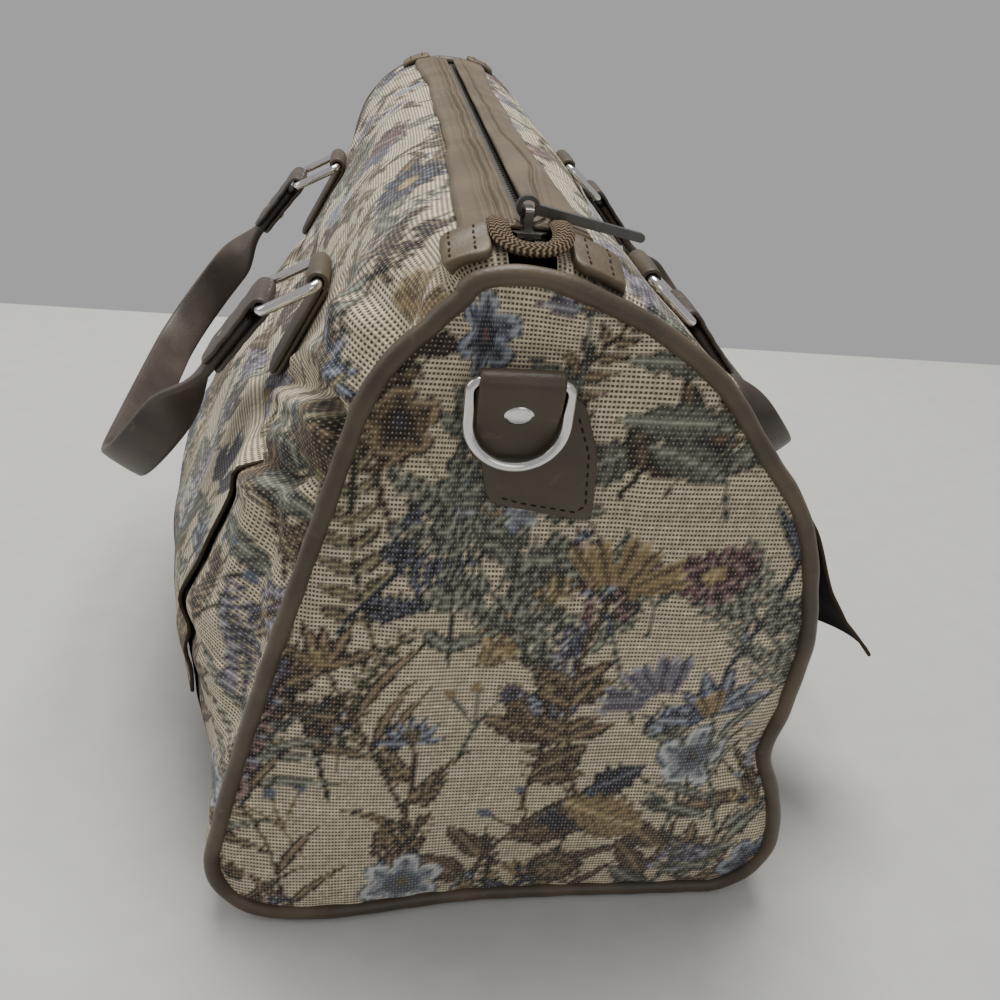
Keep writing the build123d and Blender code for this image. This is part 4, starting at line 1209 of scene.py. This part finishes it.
# End tabs: a leaning patch, a folded loop and its rivet
def dome(name, centre, out, up, radius, height, stretch):
    """A rivet's domed head on a thin flange."""
    centre, out, up = (np.asarray(v, float) for v in (centre, out, up))
    out, up = out / np.linalg.norm(out), up / np.linalg.norm(up)
    across = np.cross(up, out)
    profile = [(1.0, -0.4), (1.0, 0.18 * height), (0.93, 0.34 * height)]
    for t in np.linspace(0.15, 1.45, 7):
        profile.append((0.86 * math.cos(t), height * (0.36 + 0.64 * math.sin(t))))
    around, points = 28, []
    for share, rise in profile:
        for t in np.linspace(0, math.tau, around, endpoint=False):
            spoke = across * math.cos(t) * stretch + up * math.sin(t)
            points.append(centre + out * rise + radius * share * spoke)
    faces = tube_faces(len(profile), around) + tube_ends(len(profile), around)
    return closed_piece(name, points, faces, "ring_metal", ring_chrome)


def rounded_corners(corners, radius):
    """A polygon's outline with its corners rounded."""
    corners, points = np.array(corners, float), []
    for i, corner in enumerate(corners):
        back, ahead = corners[i - 1] - corner, corners[(i + 1) % len(corners)] - corner
        back, ahead = (corner + leg * min(radius / np.hypot(*leg), 0.5) for leg in (back, ahead))
        shares = np.linspace(0, 1, 8)
        points += [(1 - t) ** 2 * back + 2 * t * (1 - t) * corner + t * t * ahead for t in shares]
    return filled(points)


def tab_line(bar_y, bar_z):
    """The loop's middle as (y, z): up its front leg, over the ring's bar and down behind."""
    bend = 2.95
    line = []
    for share in np.linspace(1, 0, 16):
        y = 208.5 + 6.3 * (1 - smoothstep(-0.1, 0.85, share))
        line.append((min(y, bar_y + bend - 0.05), bar_z - 1.5 - 23.5 * share))
    line += arc((bar_y, bar_z, bend), -0.3, math.pi, 16)
    return line + [(bar_y - bend, z) for z in np.linspace(bar_z - 2, bar_z - 16, 8)]


tab_x = -13.5
tab_corners = [(5.5, 223.5), (-27.0, 223.5), (-19.4, 187.2), (13.8, 181.2), (12.6, 205)]
tab_seam = [(-15.6, 189.5), (-9, 187.6), (8.2, 184.9), (11.0, 187.4), (9.6, 205), (5, 217)]
for side, name in ((-1, "front"), (1, "rear")):

    def on_patch(u, v, height, side=side):
        """A patch's point: x, z and a height over the end."""
        return (u, side * (end_plane + 0.6 + height), v)

    outline = rounded_corners(tab_corners, 5)
    patch = pad(f"tab_patch_{name}", outline, on_patch, 2.0, 0.9, tab_leather, 0.2)
    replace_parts(patch, f"end_patch_{name}")
    stitches(f"tab_stitches_{name}", tab_seam, on_patch, 3.1, 2.1, 2.15, radius=0.36)

    line = tab_line(211.9, 229.0)
    centres = [(tab_x, side * y, z) for y, z in line]
    widths = [24.2 - 0.5 * max(0, 1 - i / 4) for i in range(len(line))]
    sections = [soft_section(width, 1.7, 0.8, 0.15) for width in widths]
    wides = [(1, 0, 0)] * len(line)
    loop = sweep(f"tab_loop_{name}", centres, wides, sections, "trim_leather", tab_leather)
    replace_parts(loop, f"end_loop_{name}")
    centre, out, up = (tab_x, side * 212.7, 219.8), (0, side, -0.32), (0, 0.3 * side, 1)
    rivet = dome(f"tab_rivet_{name}", centre, out, up, 4.0, 1.5, 1.12)
    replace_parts(rivet, f"end_rivet_{name}")


# Pockets and their flaps
def rows_between(side, low, high):
    """The rows of a side whose heights lie between two heights."""
    mean = (outlines[side][0][:, 1] + outlines[side][1][:, 1]) / 2
    inside = np.where((mean >= low) & (mean <= high) & (outlines[side][2] > 40))[0]
    return list(range(inside[0], inside[-1] + 1))


def sewn_on(side, half, low, high):
    """A panel sewn on a side: its rows, its columns' y, and each row's share of the way up."""
    rows = rows_between(side, low, high)
    ys = np.linspace(-half, half, round(2 * half / stitch_across) + 1)
    return rows, ys, np.linspace(0, 1, len(rows))[:, None]


def pocket_points(side):
    """A pocket, fuller away from its sewn sides and towards its middle height."""
    rows, ys, up = sewn_on(side, pocket_half, pocket_low, pocket_high)
    slack = smoothstep(pocket_half, 120, np.abs(ys))[None, :] * smoothstep(0, 0.25, up) * (1 - 0.5 * up)
    return side_surface(side, ys, rows, 1.0 + 1.6 * slack)


def flap_points(side):
    """A flap that hangs over its pocket. The right one's near corner has lifted."""
    rows, ys, up = sewn_on(side, flap_half, flap_low, flap_high)
    down = 1 - up
    off = 3.2 + 1.9 * smoothstep(0, 0.3, down) + 1.3 * down * ripple(ys[None, :], up * 60, 60, 50 + side)
    off = 0.25 + (np.maximum(off, 2.9) - 0.25) * smoothstep(0, 0.06, down)
    off = off * (0.62 + 0.38 * smoothstep(flap_half, 128, np.abs(ys))[None, :])
    points = side_surface(side, ys, rows, off)
    if side < 0:
        return points
    lift = smoothstep(-50, -146, ys)[None, :] * smoothstep(0, 0.16, down)
    shares = (0, 0.12, 0.28, 0.55, 0.74, 0.88, 1)
    hang_x = np.interp(down[:, 0], shares, (106, 113, 122, 136.5, 146.5, 157, 164))[:, None]
    hang_z = np.interp(down[:, 0], shares, (168, 157, 143, 114, 98.5, 88, 80.5))[:, None]
    hung = np.stack(np.broadcast_arrays(hang_x, ys[None, :], hang_z), -1)
    hung = hung + 0.8 * ripple(ys[None, :], hang_z, 45, 77)[..., None] * (1, 0, 0.5)
    return points + (hung - points) * lift[..., None]


def every_third(count):
    """Every third number below a count, and the last one."""
    return sorted({*range(0, count, 3), count - 1})


def outward_normals(points, side):
    """The direction out of a cloth at each of its points."""
    normal = np.cross(np.gradient(points, axis=1), np.gradient(points, axis=0))
    normal *= side / np.linalg.norm(normal, axis=-1, keepdims=True)
    return normal * np.sign(np.mean(normal[..., 0]) * side)


def binding(name, line, radius):
    """A thin rolled edge along a line."""
    wides = np.cross(np.gradient(line, axis=0), [(0.31, 0.22, 0.92)] * len(line))
    return sweep(name, line, wides, [ring_section(radius, 8)] * len(line), "tapestry", tape_cloth)


for side, name in ((-1, "left"), (1, "right")):
    pocket = weave(f"pocket_cloth_{name}", pocket_points(side), meadow(300, 130, 40 + side), side)
    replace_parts(pocket, f"pocket_{name}")

    points = flap_points(side)
    flap = weave(f"flap_cloth_{name}", points, meadow(302, 122, 60 + side), side)
    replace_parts(flap, f"flap_{name}")
    normal = outward_normals(points, side)
    back = (points - 1.1 * normal)[np.ix_(*(every_third(count) for count in points.shape[:2]))]
    faces = grid_faces(*back.shape[:2]).tolist()
    flap_back = finish_piece(f"flap_lining_{name}", back.reshape(-1, 3), faces, "lining", black_lining)
    middle = points - 0.5 * normal
    edge = np.concatenate([middle[::-1, 0], middle[0, 1:-1], middle[:, -1]])[::2]
    flap_edge = binding(f"flap_binding_{name}", edge, 0.8)

# Metal, tape and board keep their shapes and take these finishes
finishes = {"ring_metal": ring_chrome, "zip_metal": zip_metal, "zip_tape": tape_cloth, "board": board_brown}
for node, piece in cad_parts.items():
    for slot in piece.material_slots:
        if slot.material and slot.material.name in finishes:
            slot.material = pull_metal if node == "zip_pull" else finishes[slot.material.name]


# Stage: a pale table, soft light from above and a plain grey room
table = Finish("pale_table", roughness=0.6, specular_ior_level=0.3)
mottle = table.noise(60, 3)
table.set("base_color", table.mix(mottle.between(0.2, 0.8), srgb(196, 196, 191), srgb(202, 202, 197)))
table_half, near_edge, table_z = 2500, -1800, -0.2
far_edge, edge_slope = 421.63, -0.0319
corners = [(x, near_edge, table_z) for x in (-table_half, table_half)]
corners += [(x, far_edge + edge_slope * x, table_z) for x in (table_half, -table_half)]
mesh = bpy.data.meshes.new("table_top")
mesh.from_pydata([tuple(part * MM for part in corner) for corner in corners], [], [(0, 1, 2, 3)])
mesh.materials.append(table.material)
table_top = bpy.data.objects.new("table_top", mesh)
bpy.context.scene.collection.objects.link(table_top)


def soft_light(name, place, target, size, power, colour=(1, 1, 1)):
    """A round lamp in metres and watts."""
    light = bpy.data.lights.new(name, "AREA")
    light.shape, light.size, light.energy, light.color = "DISK", size, power, colour
    lamp = bpy.data.objects.new(name, light)
    lamp.location = place
    lamp.rotation_euler = (Vector(target) - Vector(place)).to_track_quat("-Z", "Y").to_euler()
    bpy.context.scene.collection.objects.link(lamp)


soft_light("overhead", (0.0, 0.28, 1.5), (0, 0, 0.15), 0.9, 26, (1, 0.985, 0.96))
soft_light("left_window", (-1.4, 0.1, 0.9), (0, 0, 0.15), 1.0, 5)
soft_light("front_fill", (0.5, -1.6, 0.9), (0, 0, 0.12), 1.2, 3.5)

# The room lights the bag evenly. The camera and smooth surfaces see a grey wall instead
world = bpy.data.worlds.new("room")
bpy.context.scene.world = world
world.use_nodes = True
nodes, links = world.node_tree.nodes, world.node_tree.links
nodes.clear()
seen = nodes.new("ShaderNodeLightPath")
wall = seen.outputs["Is Camera Ray"]
for kind in ("Is Glossy Ray", "Is Transmission Ray"):
    either = nodes.new("ShaderNodeMath")
    either.operation = "MAXIMUM"
    links.new(wall, either.inputs[0])
    links.new(seen.outputs[kind], either.inputs[1])
    wall = either.outputs[0]
choose, output = nodes.new("ShaderNodeMixShader"), nodes.new("ShaderNodeOutputWorld")
links.new(wall, choose.inputs[0])
for place, colour, strength in ((1, (1, 1, 1), 0.4), (2, srgb(172, 170, 171), 1.0)):
    shade = nodes.new("ShaderNodeBackground")
    shade.inputs["Color"].default_value = (*colour, 1)
    shade.inputs["Strength"].default_value = strength
    links.new(shade.outputs[0], choose.inputs[place])
links.new(choose.outputs[0], output.inputs[0])

# Camera, as the photograph was taken
roll, pitch, yaw = (math.radians(angle) for angle in (6.26, 30.52, 9.27))
ahead = Vector((math.sin(yaw) * math.cos(pitch), math.cos(yaw) * math.cos(pitch), -math.sin(pitch)))
level = Vector((math.cos(yaw), -math.sin(yaw), 0))
upward = level.cross(ahead)
right = level * math.cos(roll) + upward * math.sin(roll)
above = upward * math.cos(roll) - level * math.sin(roll)
lens = bpy.data.cameras.new("camera")
lens.sensor_width, lens.lens, lens.clip_start = 36, 34.92, 0.01
camera = bpy.data.objects.new("camera", lens)
turn = Matrix((right, above, -ahead)).transposed().to_4x4()
camera.matrix_world = Matrix.Translation(Vector((-56, -456, 337)) * MM) @ turn
bpy.context.scene.collection.objects.link(camera)
bpy.context.scene.camera = camera
